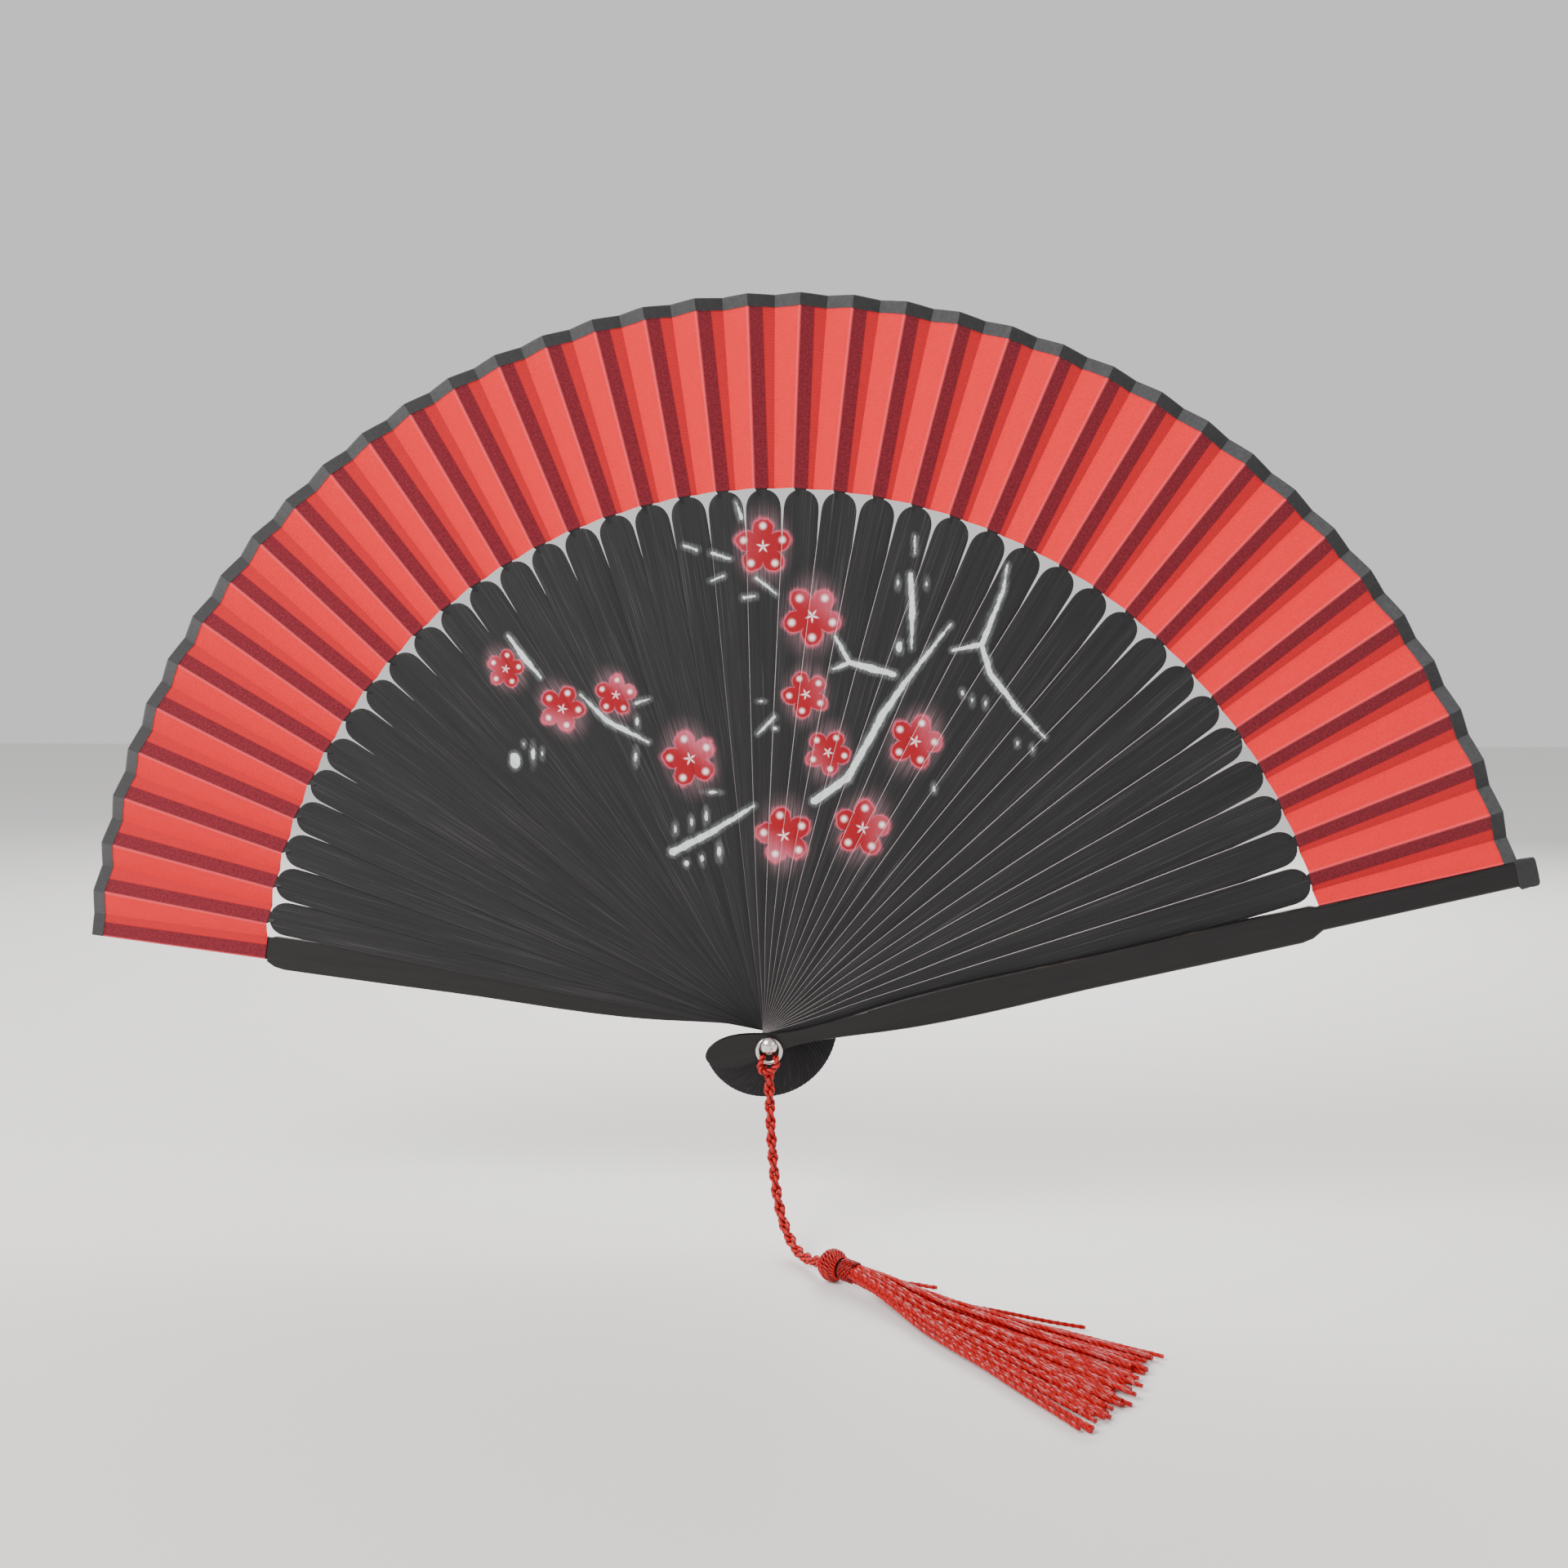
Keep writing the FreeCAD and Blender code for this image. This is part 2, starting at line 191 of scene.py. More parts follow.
class Shape(Graph):
    """A shape tree whose sizes are named inputs, in millimetres and degrees."""

    def __init__(self, name, **sizes):
        super().__init__(bpy.data.node_groups.new(name, "GeometryNodeTree"))
        face = self.tree.interface
        face.new_socket("Geometry", in_out="INPUT", socket_type="NodeSocketGeometry")
        face.new_socket("Finish", in_out="INPUT", socket_type="NodeSocketMaterial")
        for size, usual in sizes.items():
            face.new_socket(size, in_out="INPUT", socket_type="NodeSocketFloat").default_value = usual
        face.new_socket("Geometry", in_out="OUTPUT", socket_type="NodeSocketGeometry")
        self.given = self.node("NodeGroupInput")

    def size(self, name):
        return Value(self, self.given.outputs[name])

    def slab(self, along, across, deep=2):
        """A block of vertices that are put in place later, from -0.5 to 0.5 each way."""
        counts = {"Size": (1.0, 1.0, 1.0), 1: along, 2: across, 3: deep}
        return self.get("GeometryNodeMeshCube", None, counts)

    def moved(self, geometry, position):
        return self.get("GeometryNodeSetPosition", None, {"Geometry": geometry, "Position": position})

    def kept(self, geometry, name, value, kind="FLOAT"):
        """Stores a value on every vertex, for the finish to read."""
        settings = {"data_type": kind, "domain": "POINT"}
        inputs = {0: geometry, "Name": name, "Value": value}
        return self.get("GeometryNodeStoreNamedAttribute", settings, inputs)

    def vectors(self, operation, inputs):
        return self.get("ShaderNodeVectorMath", {"operation": operation}, inputs)

    def joined(self, *shapes):
        made = self.node("GeometryNodeJoinGeometry")
        for shape in reversed(shapes):
            self.tree.links.new(shape.socket, made.inputs[0])
        return Value(self, made.outputs[0])

    def done(self, geometry):
        """Turns millimetres into metres, makes every copy real and puts the finish on."""
        small = self.get("GeometryNodeTransform", None, {"Geometry": geometry, "Scale": (0.001,) * 3})
        real = self.get("GeometryNodeRealizeInstances", None, {0: small})
        inputs = {"Geometry": real, "Material": self.size("Finish")}
        self.node("NodeGroupOutput", None, {0: self.get("GeometryNodeSetMaterial", None, inputs)})

    def piece(self, name, finish, body, slot, stands_for=(), base=None, crease=40, place=None, **sizes):
        """Runs the tree once and keeps its result as a plain mesh that moves with one body."""
        maker = bpy.data.objects.new(name, base or bpy.data.meshes.new(name))
        scene.collection.objects.link(maker)
        modifier = maker.modifiers.new("shape", "NODES")
        modifier.node_group = self.tree
        for item in self.tree.interface.items_tree:
            if item.in_out == "INPUT" and item.name == "Finish":
                modifier[item.identifier] = finish
            elif item.in_out == "INPUT" and item.name in sizes:
                modifier[item.identifier] = float(sizes[item.name])
        seen = bpy.context.evaluated_depsgraph_get()
        solved = maker.evaluated_get(seen)
        mesh = bpy.data.meshes.new_from_object(solved, preserve_all_data_layers=True, depsgraph=seen)
        bpy.data.objects.remove(maker)
        mesh.name = name
        if place is not None:
            mesh.transform(place)
        inside_out = bmesh.new()
        inside_out.from_mesh(mesh)
        if inside_out.calc_volume(signed=True) < 0:
            mesh.flip_normals()
        inside_out.free()
        mesh.shade_smooth()
        mesh.set_sharp_from_angle(angle=math.radians(crease))
        made = bpy.data.objects.new(name, mesh)
        scene.collection.objects.link(made)
        if stands_for:
            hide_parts(*stands_for)
        if body:
            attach(made, body)
        return made


class Finish(Graph):
    """A material: one Principled shader and the nodes that vary it."""

    def __init__(self, name, **constants):
        self.material = bpy.data.materials.new(name)
        self.material.use_nodes = True
        super().__init__(self.material.node_tree)
        self.shader = self.tree.nodes["Principled BSDF"]
        self.end = self.tree.nodes["Material Output"]
        for socket, value in constants.items():
            self.shader.inputs[socket.replace("_", " ")].default_value = value

    def feed(self, socket, value):
        self.tree.links.new(value.socket, self.shader.inputs[socket])

    def bump(self, height, distance, strength=1.0):
        inputs = {"Height": height, "Distance": distance, "Strength": strength}
        self.feed("Normal", self.get("ShaderNodeBump", None, inputs))

    def mix(self, share, one, other):
        return self.get("ShaderNodeMix", {"data_type": "RGBA"}, {0: share, 6: one, 7: other}, 2)

    def noise(self, vector, scale, detail=2.0):
        return self.get("ShaderNodeTexNoise", None, {"Vector": vector, "Scale": scale, "Detail": detail})

    def stretched(self, vector, *scale, turn=(0.0, 0.0, 0.0)):
        return self.get("ShaderNodeMapping", None, {"Vector": vector, "Rotation": turn, "Scale": scale})

    def stored(self, name, output="Fac"):
        return self.get("ShaderNodeAttribute", {"attribute_name": name}, None, output)


def red_green_blue(*chart):
    """A dye's colour, from the 0 to 255 of a colour chart."""
    shares = [c / 255 for c in chart]
    return tuple(c / 12.92 if c < 0.04045 else ((c + 0.055) / 1.055) ** 2.4 for c in shares) + (1.0,)


stick_count = 40
middle_stick = 19.5
first_angle = 13.4
step_angle = 4.083
level_step = 0.6
blade_tip = 140.7
head_end = -16.7
slip_start = 139.2
to_radians = math.pi / 180

rib_shape = Shape(
    "fan rib", Number=1.0, Thickness=0.45, WidestHalf=5.0, TipRound=5.6, HeadRound=7.7,
    SlipWidth=3.9, SlipThickness=0.3, SlipEnd=186.4, RivetHole=1.25,
)


def stick_level(number):
    """How far behind the middle of the stack a stick lies, in millimetres."""
    return (number - middle_stick) * level_step


def half_width(x):
    """Half the blade's width: a broad head, a waist at the rivet, then slowly wider to the tip."""
    share = (x - head_end) / (blade_tip - head_end)
    sides = [
        (0.0, 0.8), (0.049, 0.8), (0.106, 0.52), (0.297, 0.69), (0.583, 0.83), (0.96, 0.905), (1.0, 0.905),
    ]
    curve = rib_shape.get("ShaderNodeFloatCurve", {"curve": sides}, {"Value": share})
    width = curve * rib_shape.size("WidestHalf")
    tip = rib_shape.clamp((x - (blade_tip - rib_shape.size("TipRound"))) / rib_shape.size("TipRound"))
    head = rib_shape.clamp((head_end + rib_shape.size("HeadRound") - x) / rib_shape.size("HeadRound"))
    tip_curve = (1.0 - tip ** 2.5) ** 0.48
    head_curve = (1.0 - head ** 2.0) ** 0.5
    return width * tip_curve * head_curve + 0.02


def rib_tree():
    tree = rib_shape
    # the blade: a flat slab whose corners are eased, sampled closely at its two round ends
    block = tree.slab(76, 9)
    s, v, w = tree.parts(tree.get("GeometryNodeInputPosition"))
    x = head_end + (blade_tip - head_end) * (0.5 - 0.5 * tree.math("COSINE", (s + 0.5) * math.pi))
    side = tree.math("SIGN", v)
    across = (1.0 - (1.0 - abs(v * 2.0)) ** 1.8) * side * -1.0
    eased = 1.0 - tree.smooth(abs(across), 0.86, 1.0) * 0.32
    block = tree.kept(block, "rim", across)
    blade = tree.moved(block, tree.point(x, w * tree.size("Thickness") * eased, across * half_width(x)))
    inputs = {"Vertices": 24, "Radius": tree.size("RivetHole"), "Depth": 3.0}
    drill = tree.get("GeometryNodeMeshCylinder", None, inputs, "Mesh")
    inputs = {"Geometry": drill, "Rotation": (math.pi / 2, 0.0, 0.0)}
    drill = tree.get("GeometryNodeTransform", None, inputs)
    blade = tree.get("GeometryNodeMeshBoolean", {"operation": "DIFFERENCE"}, {0: blade, 1: drill})
    # the slip: it narrows into the tip, leans a little ahead and lies turned along the pleat
    strip = tree.slab(22, 4)
    s, v, w = tree.parts(tree.get("GeometryNodeInputPosition"))
    x = slip_start + (tree.size("SlipEnd") - slip_start) * (s + 0.5)
    lean = math.radians(0.92)
    tilt = math.radians(22.0)
    narrow = tree.smooth(x, 139.0, 141.6) * 0.62 + 0.38
    middle = x * math.tan(lean) - tree.size("SlipWidth") * (0.5 * math.cos(tilt))
    u = middle - v * narrow * tree.size("SlipWidth") * math.cos(tilt)
    y = v * narrow * tree.size("SlipWidth") * math.sin(tilt) + w * tree.size("SlipThickness")
    slip = tree.moved(strip, tree.point(x, y, u))
    both = tree.joined(blade, slip)
    x, y, u = tree.parts(tree.get("GeometryNodeInputPosition"))
    both = tree.kept(both, "stick", tree.point(x, u, tree.size("Number")), "FLOAT_VECTOR")
    # turned about the rivet and set to its level in the stack
    turn = (tree.size("Number") * step_angle + first_angle) * to_radians
    cosine = tree.math("COSINE", turn)
    sine = tree.math("SINE", turn)
    level = stick_level(tree.size("Number"))
    tree.done(tree.moved(both, tree.point(x * cosine - u * sine, y + level, x * sine + u * cosine)))


rib_tree()

# the sprayed blossoms: distance from the rivet, direction, size, turn of the petals, and the side that
# fades to pale pink with how far it fades
blossoms = [
    (126.2, 91.1, 7.5, 90, 170, 0.15), (108.9, 84.6, 7.9, 54, 45, 0.60), (88.8, 84.4, 6.2, 41, 20, 0.30),
    (74.9, 78.9, 6.1, 61, 215, 0.35), (84.8, 64.4, 7.0, 70, 25, 0.50), (59.0, 66.8, 7.4, 82, 5, 0.45),
    (52.0, 86.7, 7.6, 101, 245, 0.80), (74.8, 106.9, 7.6, 106, 58, 0.85), (97.3, 115.1, 5.6, 85, 55, 0.80),
    (101.2, 123.4, 6.3, 69, 255, 0.75), (118.4, 126.7, 5.2, 81, 190, 0.40),
]
# the brushed twigs, each a row of (distance from the rivet, direction, width of the stroke)
twigs = [
    [
        (62.1, 79.7, 2.0), (69.6, 73.9, 1.9), (80.0, 72.1, 1.6), (88.4, 71.1, 1.9), (98.7, 69.4, 1.3),
        (115.5, 66.8, 0.5),
    ],
    [(134.7, 63.8, 0.5), (128.5, 62.9, 0.9), (114.2, 62.2, 1.5), (109.7, 65.2, 0.6)],
    [(114.2, 62.2, 1.2), (108.9, 59.5, 1.5), (105.2, 53.7, 1.1), (103.9, 48.3, 0.5)],
    [(104.5, 81.1, 0.7), (98.5, 78.4, 1.2), (98.4, 75.0, 1.9), (98.5, 71.5, 1.3)],
    [(98.5, 78.4, 1.1), (96.1, 80.6, 0.6)],
    [(124.9, 124.0, 0.7), (118.3, 123.9, 1.6), (111.2, 123.5, 0.7)],
    [(101.6, 119.9, 0.6), (92.2, 118.2, 1.3), (86.5, 115.5, 1.1), (82.5, 113.3, 0.5)],
    [(53.9, 119.5, 1.9), (54.6, 108.0, 1.6), (59.6, 94.7, 0.8)],
    [(93.2, 112.6, 1.0), (92.9, 110.4, 0.4)],
    [(123.7, 73.4, 1.3), (115.0, 71.9, 1.5), (106.2, 70.4, 0.4)],
    [(133.3, 74.2, 0.6), (129.3, 73.7, 0.5)],
    [(128.7, 100.3, 0.4), (127.0, 98.9, 0.9)],
    [(125.7, 97.2, 0.9), (123.6, 95.1, 0.5)],
    [(137.8, 93.9, 0.5), (133.8, 93.4, 0.9)],
    [(118.6, 97.7, 0.4), (119.4, 96.1, 0.7)],
    [(113.4, 93.7, 0.9), (113.6, 92.3, 0.8)],
    [(118.2, 92.0, 0.9), (114.1, 89.5, 0.4)],
    [(78.2, 92.8, 0.4), (82.5, 89.7, 1.0)],
]
# flecks of the same white, (distance from the rivet, direction, half width, half height)
flecks = [
    (105.7, 72.1, 0.95, 1.7), (120.9, 74.6, 0.35, 0.9), (122.8, 71.3, 0.3, 0.7), (101.1, 61.3, 0.5, 0.9),
    (100.7, 59.6, 0.4, 0.8), (101.9, 57.8, 0.4, 0.8), (98.4, 50.7, 0.4, 0.7), (99.7, 48.5, 0.35, 0.7),
    (76.8, 57.3, 0.5, 0.9), (98.6, 134.2, 1.7, 2.6), (96.6, 131.3, 0.6, 2.1), (100.2, 131.4, 0.3, 0.5),
    (95.0, 130.2, 0.35, 0.8), (88.5, 113.7, 0.55, 1.3), (80.5, 116.7, 0.5, 1.6), (64.8, 104.0, 1.5, 0.55),
    (59.0, 115.9, 0.5, 1.2), (58.7, 111.4, 0.5, 1.3), (59.1, 107.2, 0.6, 1.6), (49.6, 117.4, 0.6, 0.9),
    (48.9, 112.4, 0.6, 1.2), (49.3, 106.6, 0.7, 1.9), (86.6, 92.0, 0.6, 0.35), (79.6, 89.5, 0.65, 0.6),
]


def plane_place(radius, direction):
    turn = math.radians(direction)
    return radius * math.cos(turn), radius * math.sin(turn)


def near_rib(number, radius, direction, reach):
    """Whether paint of that reach comes on this rib's blade."""
    off = abs(direction - (first_angle + step_angle * number))
    return radius * math.sin(math.radians(min(off, 90))) < reach + 5.5


def drawn_at(paint, flat, place, turn, size):
    """The painted plane as one blossom or stroke has it: from its own place, along its own turn and size."""
    inputs = {"Vector": flat, "Location": (*place, 0.0), "Rotation": (0.0, 0.0, turn), "Scale": (*size, 1.0)}
    return paint.parts(paint.get("ShaderNodeMapping", {"vector_type": "TEXTURE"}, inputs))[:2]


def blossom_over(colour, paint, flat, drift, uneven, sprayed):
    """One sprayed blossom over a colour, and how far its paint covers."""
    radius, direction, size, turn, fade_side, fade = sprayed
    place = plane_place(radius, direction)
    a, b = drawn_at(paint, flat, place, math.radians(turn), (size, size))
    reach = (a * a + b * b) ** 0.5
    angle = paint.math("ARCTAN2", b, a)
    lobe = abs(paint.math("COSINE", angle * 2.5))
    edge = reach - (lobe ** 0.70 * 0.44 + 0.53) + uneven
    # a mist of spray lies round it, longer along the rib than across
    p, q = drawn_at(paint, flat, place, math.radians(direction), (size * 1.75, size * 1.25))
    glow = paint.smooth((p * p + q * q) ** 0.5, 1.05, 0.45) ** 1.6 * (drift * 0.26 + 0.03)
    colour = paint.mix(glow, colour, red_green_blue(196, 150, 160))
    rim = paint.smooth(edge, 0.20, 0.0) ** 2.0 * (drift * 0.5 + 0.14)
    colour = paint.mix(rim, colour, red_green_blue(200, 96, 118))
    # the petals are crimson and fade to pale pink on one side
    side = math.radians(fade_side - turn)
    faded = paint.smooth(a * math.cos(side) + b * math.sin(side) + uneven, -0.20, 0.90) * fade
    dye = paint.mix(faded * (drift * 0.4 + 0.75), red_green_blue(142, 0, 20), red_green_blue(190, 98, 118))
    petal = paint.smooth(edge, 0.02, -0.03)
    colour = paint.mix(petal, colour, dye)
    outline = paint.smooth(abs(edge + 0.01), 0.055, 0.0) * 0.55
    colour = paint.mix(outline, colour, red_green_blue(208, 84, 110))
    # five white dots, one near the end of each petal: the angle is folded onto one petal
    fold = paint.math("WRAP", angle, math.pi / 5, -math.pi / 5)
    dot_x = reach * paint.math("COSINE", fold) - 0.70
    dot_y = reach * paint.math("SINE", fold)
    dot = (dot_x * dot_x + dot_y * dot_y) ** 0.5
    colour = paint.mix(paint.smooth(dot, 0.20, 0.02) ** 1.7, colour, red_green_blue(252, 226, 228))
    star = reach - paint.math("PINGPONG", fold + math.pi / 5, math.pi / 5) * 0.36
    colour = paint.mix(paint.smooth(star, 0.05, -0.08) * 0.85, colour, red_green_blue(250, 222, 226))
    return colour, paint.math("MAXIMUM", petal, glow)


def nearest_stroke(paint, number, flat):
    """How far outside the nearest twig or fleck of this rib a place lies, in millimetres."""
    distances = []
    for twig in twigs:
        for (r1, a1, w1), (r2, a2, w2) in zip(twig, twig[1:]):
            (x1, z1), (x2, z2) = plane_place(r1, a1), plane_place(r2, a2)
            long = math.dist((x1, z1), (x2, z2))
            if near_rib(number, (r1 + r2) / 2, (a1 + a2) / 2, 0.5 * long + 1.5):
                lean = math.atan2(z2 - z1, x2 - x1)
                a, b = drawn_at(paint, flat, (x1, z1), lean, (long, long))
                share = paint.clamp(a)
                past = a - share
                away = (past * past + b * b) ** 0.5 * long
                distances.append(away - share * ((w2 - w1) / 2) - w1 / 2)
    for radius, direction, wide, high in flecks:
        if near_rib(number, radius, direction, max(wide, high) + 1.0):
            place = plane_place(radius, direction)
            a, b = drawn_at(paint, flat, place, 0.0, (wide * 0.85, high * 0.78))
            distances.append(((a * a + b * b) ** 0.5 - 1.0) * min(wide, high))
    return paint.over_all("MINIMUM", distances)


def painted(paint, number, wood, flat, stick):
    """The blossoms, twigs and flecks that cross one rib, over its wood, and where they cover it."""
    colour = wood
    covers = []
    # sprayed colour drifts along the grain and catches on it in streaks
    streaks = paint.noise(paint.stretched(stick, 0.05, 2.6, 1.0), 1.0, 4.0)
    drift = paint.smooth(streaks, 0.30, 0.78)
    uneven = (paint.noise(flat, 0.30, 2.0) - 0.5) * 0.26
    for sprayed in blossoms:
        radius, direction, size = sprayed[:3]
        if near_rib(number, radius, direction, size * 1.7):
            colour, spread = blossom_over(colour, paint, flat, drift, uneven, sprayed)
            covers.append(spread)
    nearest = nearest_stroke(paint, number, flat)
    if nearest is not None:
        white = red_green_blue(214, 222, 222)
        wander = (paint.noise(flat, 0.42, 1.0) - 0.5) * 0.75
        ragged = nearest + wander + (paint.noise(flat, 1.9, 4.0) - 0.5) * 0.5
        stroke = paint.smooth(ragged, 0.12, -0.22)
        bristles = paint.noise(paint.stretched(flat, 2.4, 2.4, 1.0), 1.0, 5.0)
        thin = paint.smooth(bristles, 0.22, 0.60) * 0.42 + 0.55
        colour = paint.mix(paint.clamp(stroke * thin), colour, white)
        haze = paint.smooth(ragged, 1.3, 0.0) * (drift * 0.16 + 0.03)
        colour = paint.mix(haze, colour, white)
        covers.append(stroke)
    return colour, paint.over_all("MAXIMUM", covers)


def rib_finish(number):
    """Black-dyed wood with a fine grain along the rib, rims painted paler for wear and as a painted
    highlight, and its share of the painting.
    """
    name = "dyed_rib_%02d" % number
    finish = Finish(name, Coat_Weight=0.04, Coat_Roughness=0.3, Specular_IOR_Level=0.24)
    stick = finish.stored("stick", "Vector")
    fine = finish.noise(finish.stretched(stick, 0.05, 4.2, 3.7), 1.0, 5.0)
    hair = finish.smooth(finish.noise(finish.stretched(stick, 0.030, 7.5, 5.1), 1.0, 2.0), 0.60, 0.74)
    broad = finish.noise(finish.stretched(stick, 0.012, 0.35, 2.3), 1.0, 3.0)
    speck = finish.noise(finish.stretched(stick, 1.1, 9.0, 1.0), 1.0, 2.0)
    dye = finish.clamp(fine * 0.9 + broad * 0.8 - 0.38)
    wood = finish.mix(dye, red_green_blue(10, 10, 11), red_green_blue(39, 38, 40))
    wood = finish.mix(hair * broad * 0.62, wood, red_green_blue(112, 110, 112))
    # the cut rims are painted paler, as wear and as a painted highlight where the light from the upper left
    # catches them: most on the ribs near the front guard and away from their heads
    along, across = finish.parts(stick)[:2]
    rims_catch_light = 0.04 + 0.96 * min(max((21 - number) / 3.0, 0.0), 1.0)
    rim_wear_and_highlight = finish.smooth(along, -5.0, 75.0) * (0.6 * rims_catch_light) + 0.4 * rims_catch_light
    pale_rim_wear_and_highlight = finish.smooth(finish.stored("rim"), 0.955, 0.995) * finish.clamp(0.20 + 1.0 * speck) * rim_wear_and_highlight
    x, z = finish.parts(finish.get("ShaderNodeTexCoord", None, None, "Object"))[::2]
    flat = finish.point(x * 1000.0, z * 1000.0, 0.0)
    colour, cover = painted(finish, number, wood, flat, stick)
    rough = 0.44 + 0.16 * fine
    if cover is not None:
        # paint lies only on the front, and not where the next rib in front covers this one
        bare = finish.smooth(across + along * 0.0632, 2.9, 3.3)
        facing = finish.parts(finish.get("ShaderNodeNewGeometry", None, None, "Normal"))[1]
        front = finish.smooth(facing, -0.2, -0.6) * bare
        colour = finish.mix(front, wood, colour)
        rough = rough + front * cover * 0.12
    # painted highlight and wear: the pale colour laid on the rims
    colour = finish.mix(pale_rim_wear_and_highlight * 0.8, colour, red_green_blue(214, 202, 200))
    finish.feed("Base Color", colour)
    finish.feed("Roughness", rough)
    finish.bump(fine * 0.7 + speck * 0.3, 0.00006, 0.6)
    return finish.material


for number in range(1, stick_count - 1):
    name = "rib_%02d" % number
    rib_shape.piece("wood_" + name, rib_finish(number), name, "stick_black", [name], Number=number)


# The guards
# Two thicker outer sticks of the same dyed wood, rounded outside, planed thin at the head for the rivet
# and recessed inside, where the leaf's ends are glued. They are lacquered, and worn at the edges.
def guard_finish(name, direction):
    finish = Finish(name, Coat_Weight=0.18, Coat_Roughness=0.18, Specular_IOR_Level=0.24)
    place = finish.get("ShaderNodeTexCoord", None, None, "Object")
    inputs = {"Vector": place, "Rotation": (0.0, -math.radians(direction), 0.0), "Scale": (0.001,) * 3}
    stick = finish.get("ShaderNodeMapping", {"vector_type": "TEXTURE"}, inputs)
    fine = finish.noise(finish.stretched(stick, 0.06, 2.2, 3.6), 1.0, 6.0)
    broad = finish.noise(finish.stretched(stick, 0.02, 0.30, 0.45), 1.0, 3.0)
    dye = finish.clamp(fine * 0.9 + broad * 0.9 - 0.45)
    wood = finish.mix(dye, red_green_blue(5, 4, 5), red_green_blue(25, 22, 22))
    # the lacquer is rubbed through to browner wood here and there along the rims
    facing = abs(finish.parts(finish.get("ShaderNodeNewGeometry", None, None, "Normal"))[1])
    corner = finish.smooth(facing, 0.9, 0.55) * finish.smooth(facing, 0.05, 0.3)
    patchy = finish.noise(finish.stretched(stick, 0.09, 0.6, 0.6), 1.0, 5.0)
    patchy = finish.smooth(patchy, 0.50, 0.72)
    colour = finish.mix(corner * patchy * 0.4, wood, red_green_blue(92, 72, 62))
    finish.feed("Base Color", colour)
    finish.feed("Roughness", 0.30 + 0.22 * fine + patchy * 0.05)
    finish.bump(fine, 0.00008, 0.55)
    return finish.material


for name, number in (("front_guard", 0), ("rear_guard", stick_count - 1)):
    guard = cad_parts[name]
    guard.data.materials.clear()
    guard.data.materials.append(guard_finish("lacquered_" + name, first_angle + step_angle * number))


# The rivet
# A turned pin through all forty sticks, with a bright nickelled dome in front on a thin neck, where the
# tassel's ring hangs, and a washer under a flatter dome closed over its end behind.
def nickel(name, roughness, scratch):
    finish = Finish(name, Metallic=1.0)
    place = finish.get("ShaderNodeTexCoord", None, None, "Object")
    cloudy = finish.noise(finish.stretched(place, 900.0, 900.0, 900.0), 1.0, 4.0)
    lines = finish.noise(finish.stretched(place, 2600.0, 9000.0, 2600.0), 1.0, 2.0)
    colour = finish.mix(cloudy, red_green_blue(196, 192, 186), red_green_blue(226, 223, 218))
    finish.feed("Base Color", colour)
    finish.feed("Roughness", roughness + 0.16 * cloudy)
    finish.bump(lines, scratch)
    return finish.material


rivet_nickel = nickel("nickelled_rivet", 0.12, 0.000004)
ring_nickel = nickel("nickelled_wire", 0.16, 0.000006)
for name in ("rivet_pin", "rivet_front_dome", "rivet_washer", "rivet_back_dome", "tassel_ring"):
    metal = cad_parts[name]
    metal.data.materials.clear()
    metal.data.materials.append(ring_nickel if name == "tassel_ring" else rivet_nickel)


# The leaf
# One long strip of thin red cloth, pleated once for each rib and glued to the ribs' slips and to the
# guards' ends. Over each slip the cloth is painted dark as the slip's shade, and between the slips the light
# shines through it.
leaf_inner = 140.95
leaf_outer = 189.7
fold_sizes = {size + end: 0.0 for end in "12" for size in ("Turn", "Offset", "Lean", "Depth", "Slope")}
leaf_shape = Shape(
    "leaf face", **fold_sizes, Inner=leaf_inner, Outer=leaf_outer, Thickness=0.16, Sag=0.0, Number=0.0)


def between_folds(tree, radius, share):
    """A place between a face's two folds: its direction in radians, its depth, and the face's width."""
    directions = []
    depths = []
    for k in ("1", "2"):
        lean = tree.math("SINE", tree.size("Lean" + k) * to_radians)
        aside = tree.math("ARCSINE", tree.size("Offset" + k) / radius + lean)
        directions.append(tree.size("Turn" + k) * to_radians + aside)
        depths.append(tree.size("Depth" + k) + tree.size("Slope" + k) * radius)
    wide = (directions[0] - directions[1]) * radius
    deep = depths[1] - depths[0]
    direction = directions[0] + (directions[1] - directions[0]) * share
    return direction, depths[0] + deep * share, (wide * wide + deep * deep) ** 0.5


def on_arc(tree, radius, direction, depth):
    """The point this far from the rivet's axis, in this direction and at this depth."""
    cosine = tree.math("COSINE", direction)
    sine = tree.math("SINE", direction)
    return tree.point(radius * cosine, depth, radius * sine)


def leaf_tree():
    tree = leaf_shape
    block = tree.slab(17, 7)
    s, v, w = tree.parts(tree.get("GeometryNodeInputPosition"))
    radius = tree.size("Inner") + (tree.size("Outer") - tree.size("Inner")) * (s + 0.5)
    share = v + 0.5
    direction, depth, width = between_folds(tree, radius, share)
    # each face is a little slack between its folds, and puckers where it was pressed and glued
    slack = share * (1.0 - share) * 4.0
    spot = tree.point(radius * 0.055, share * 1.3, tree.size("Number") * 5.3)
    pucker = tree.get("ShaderNodeTexNoise", None, {"Vector": spot, "Scale": 1.0, "Detail": 2.0}) - 0.5
    slack = slack * tree.smooth(radius, 187.0, 182.0)
    depth = depth + slack * (tree.size("Sag") + pucker * 0.42)
    face = tree.kept(block, "cloth", tree.point(share * width, radius, share), "FLOAT_VECTOR")
    tree.done(tree.moved(face, on_arc(tree, radius, direction, depth + w * tree.size("Thickness"))))


leaf_tree()


row_pitch = 0.46
column_pitch = 0.38
glued_width = 3.95


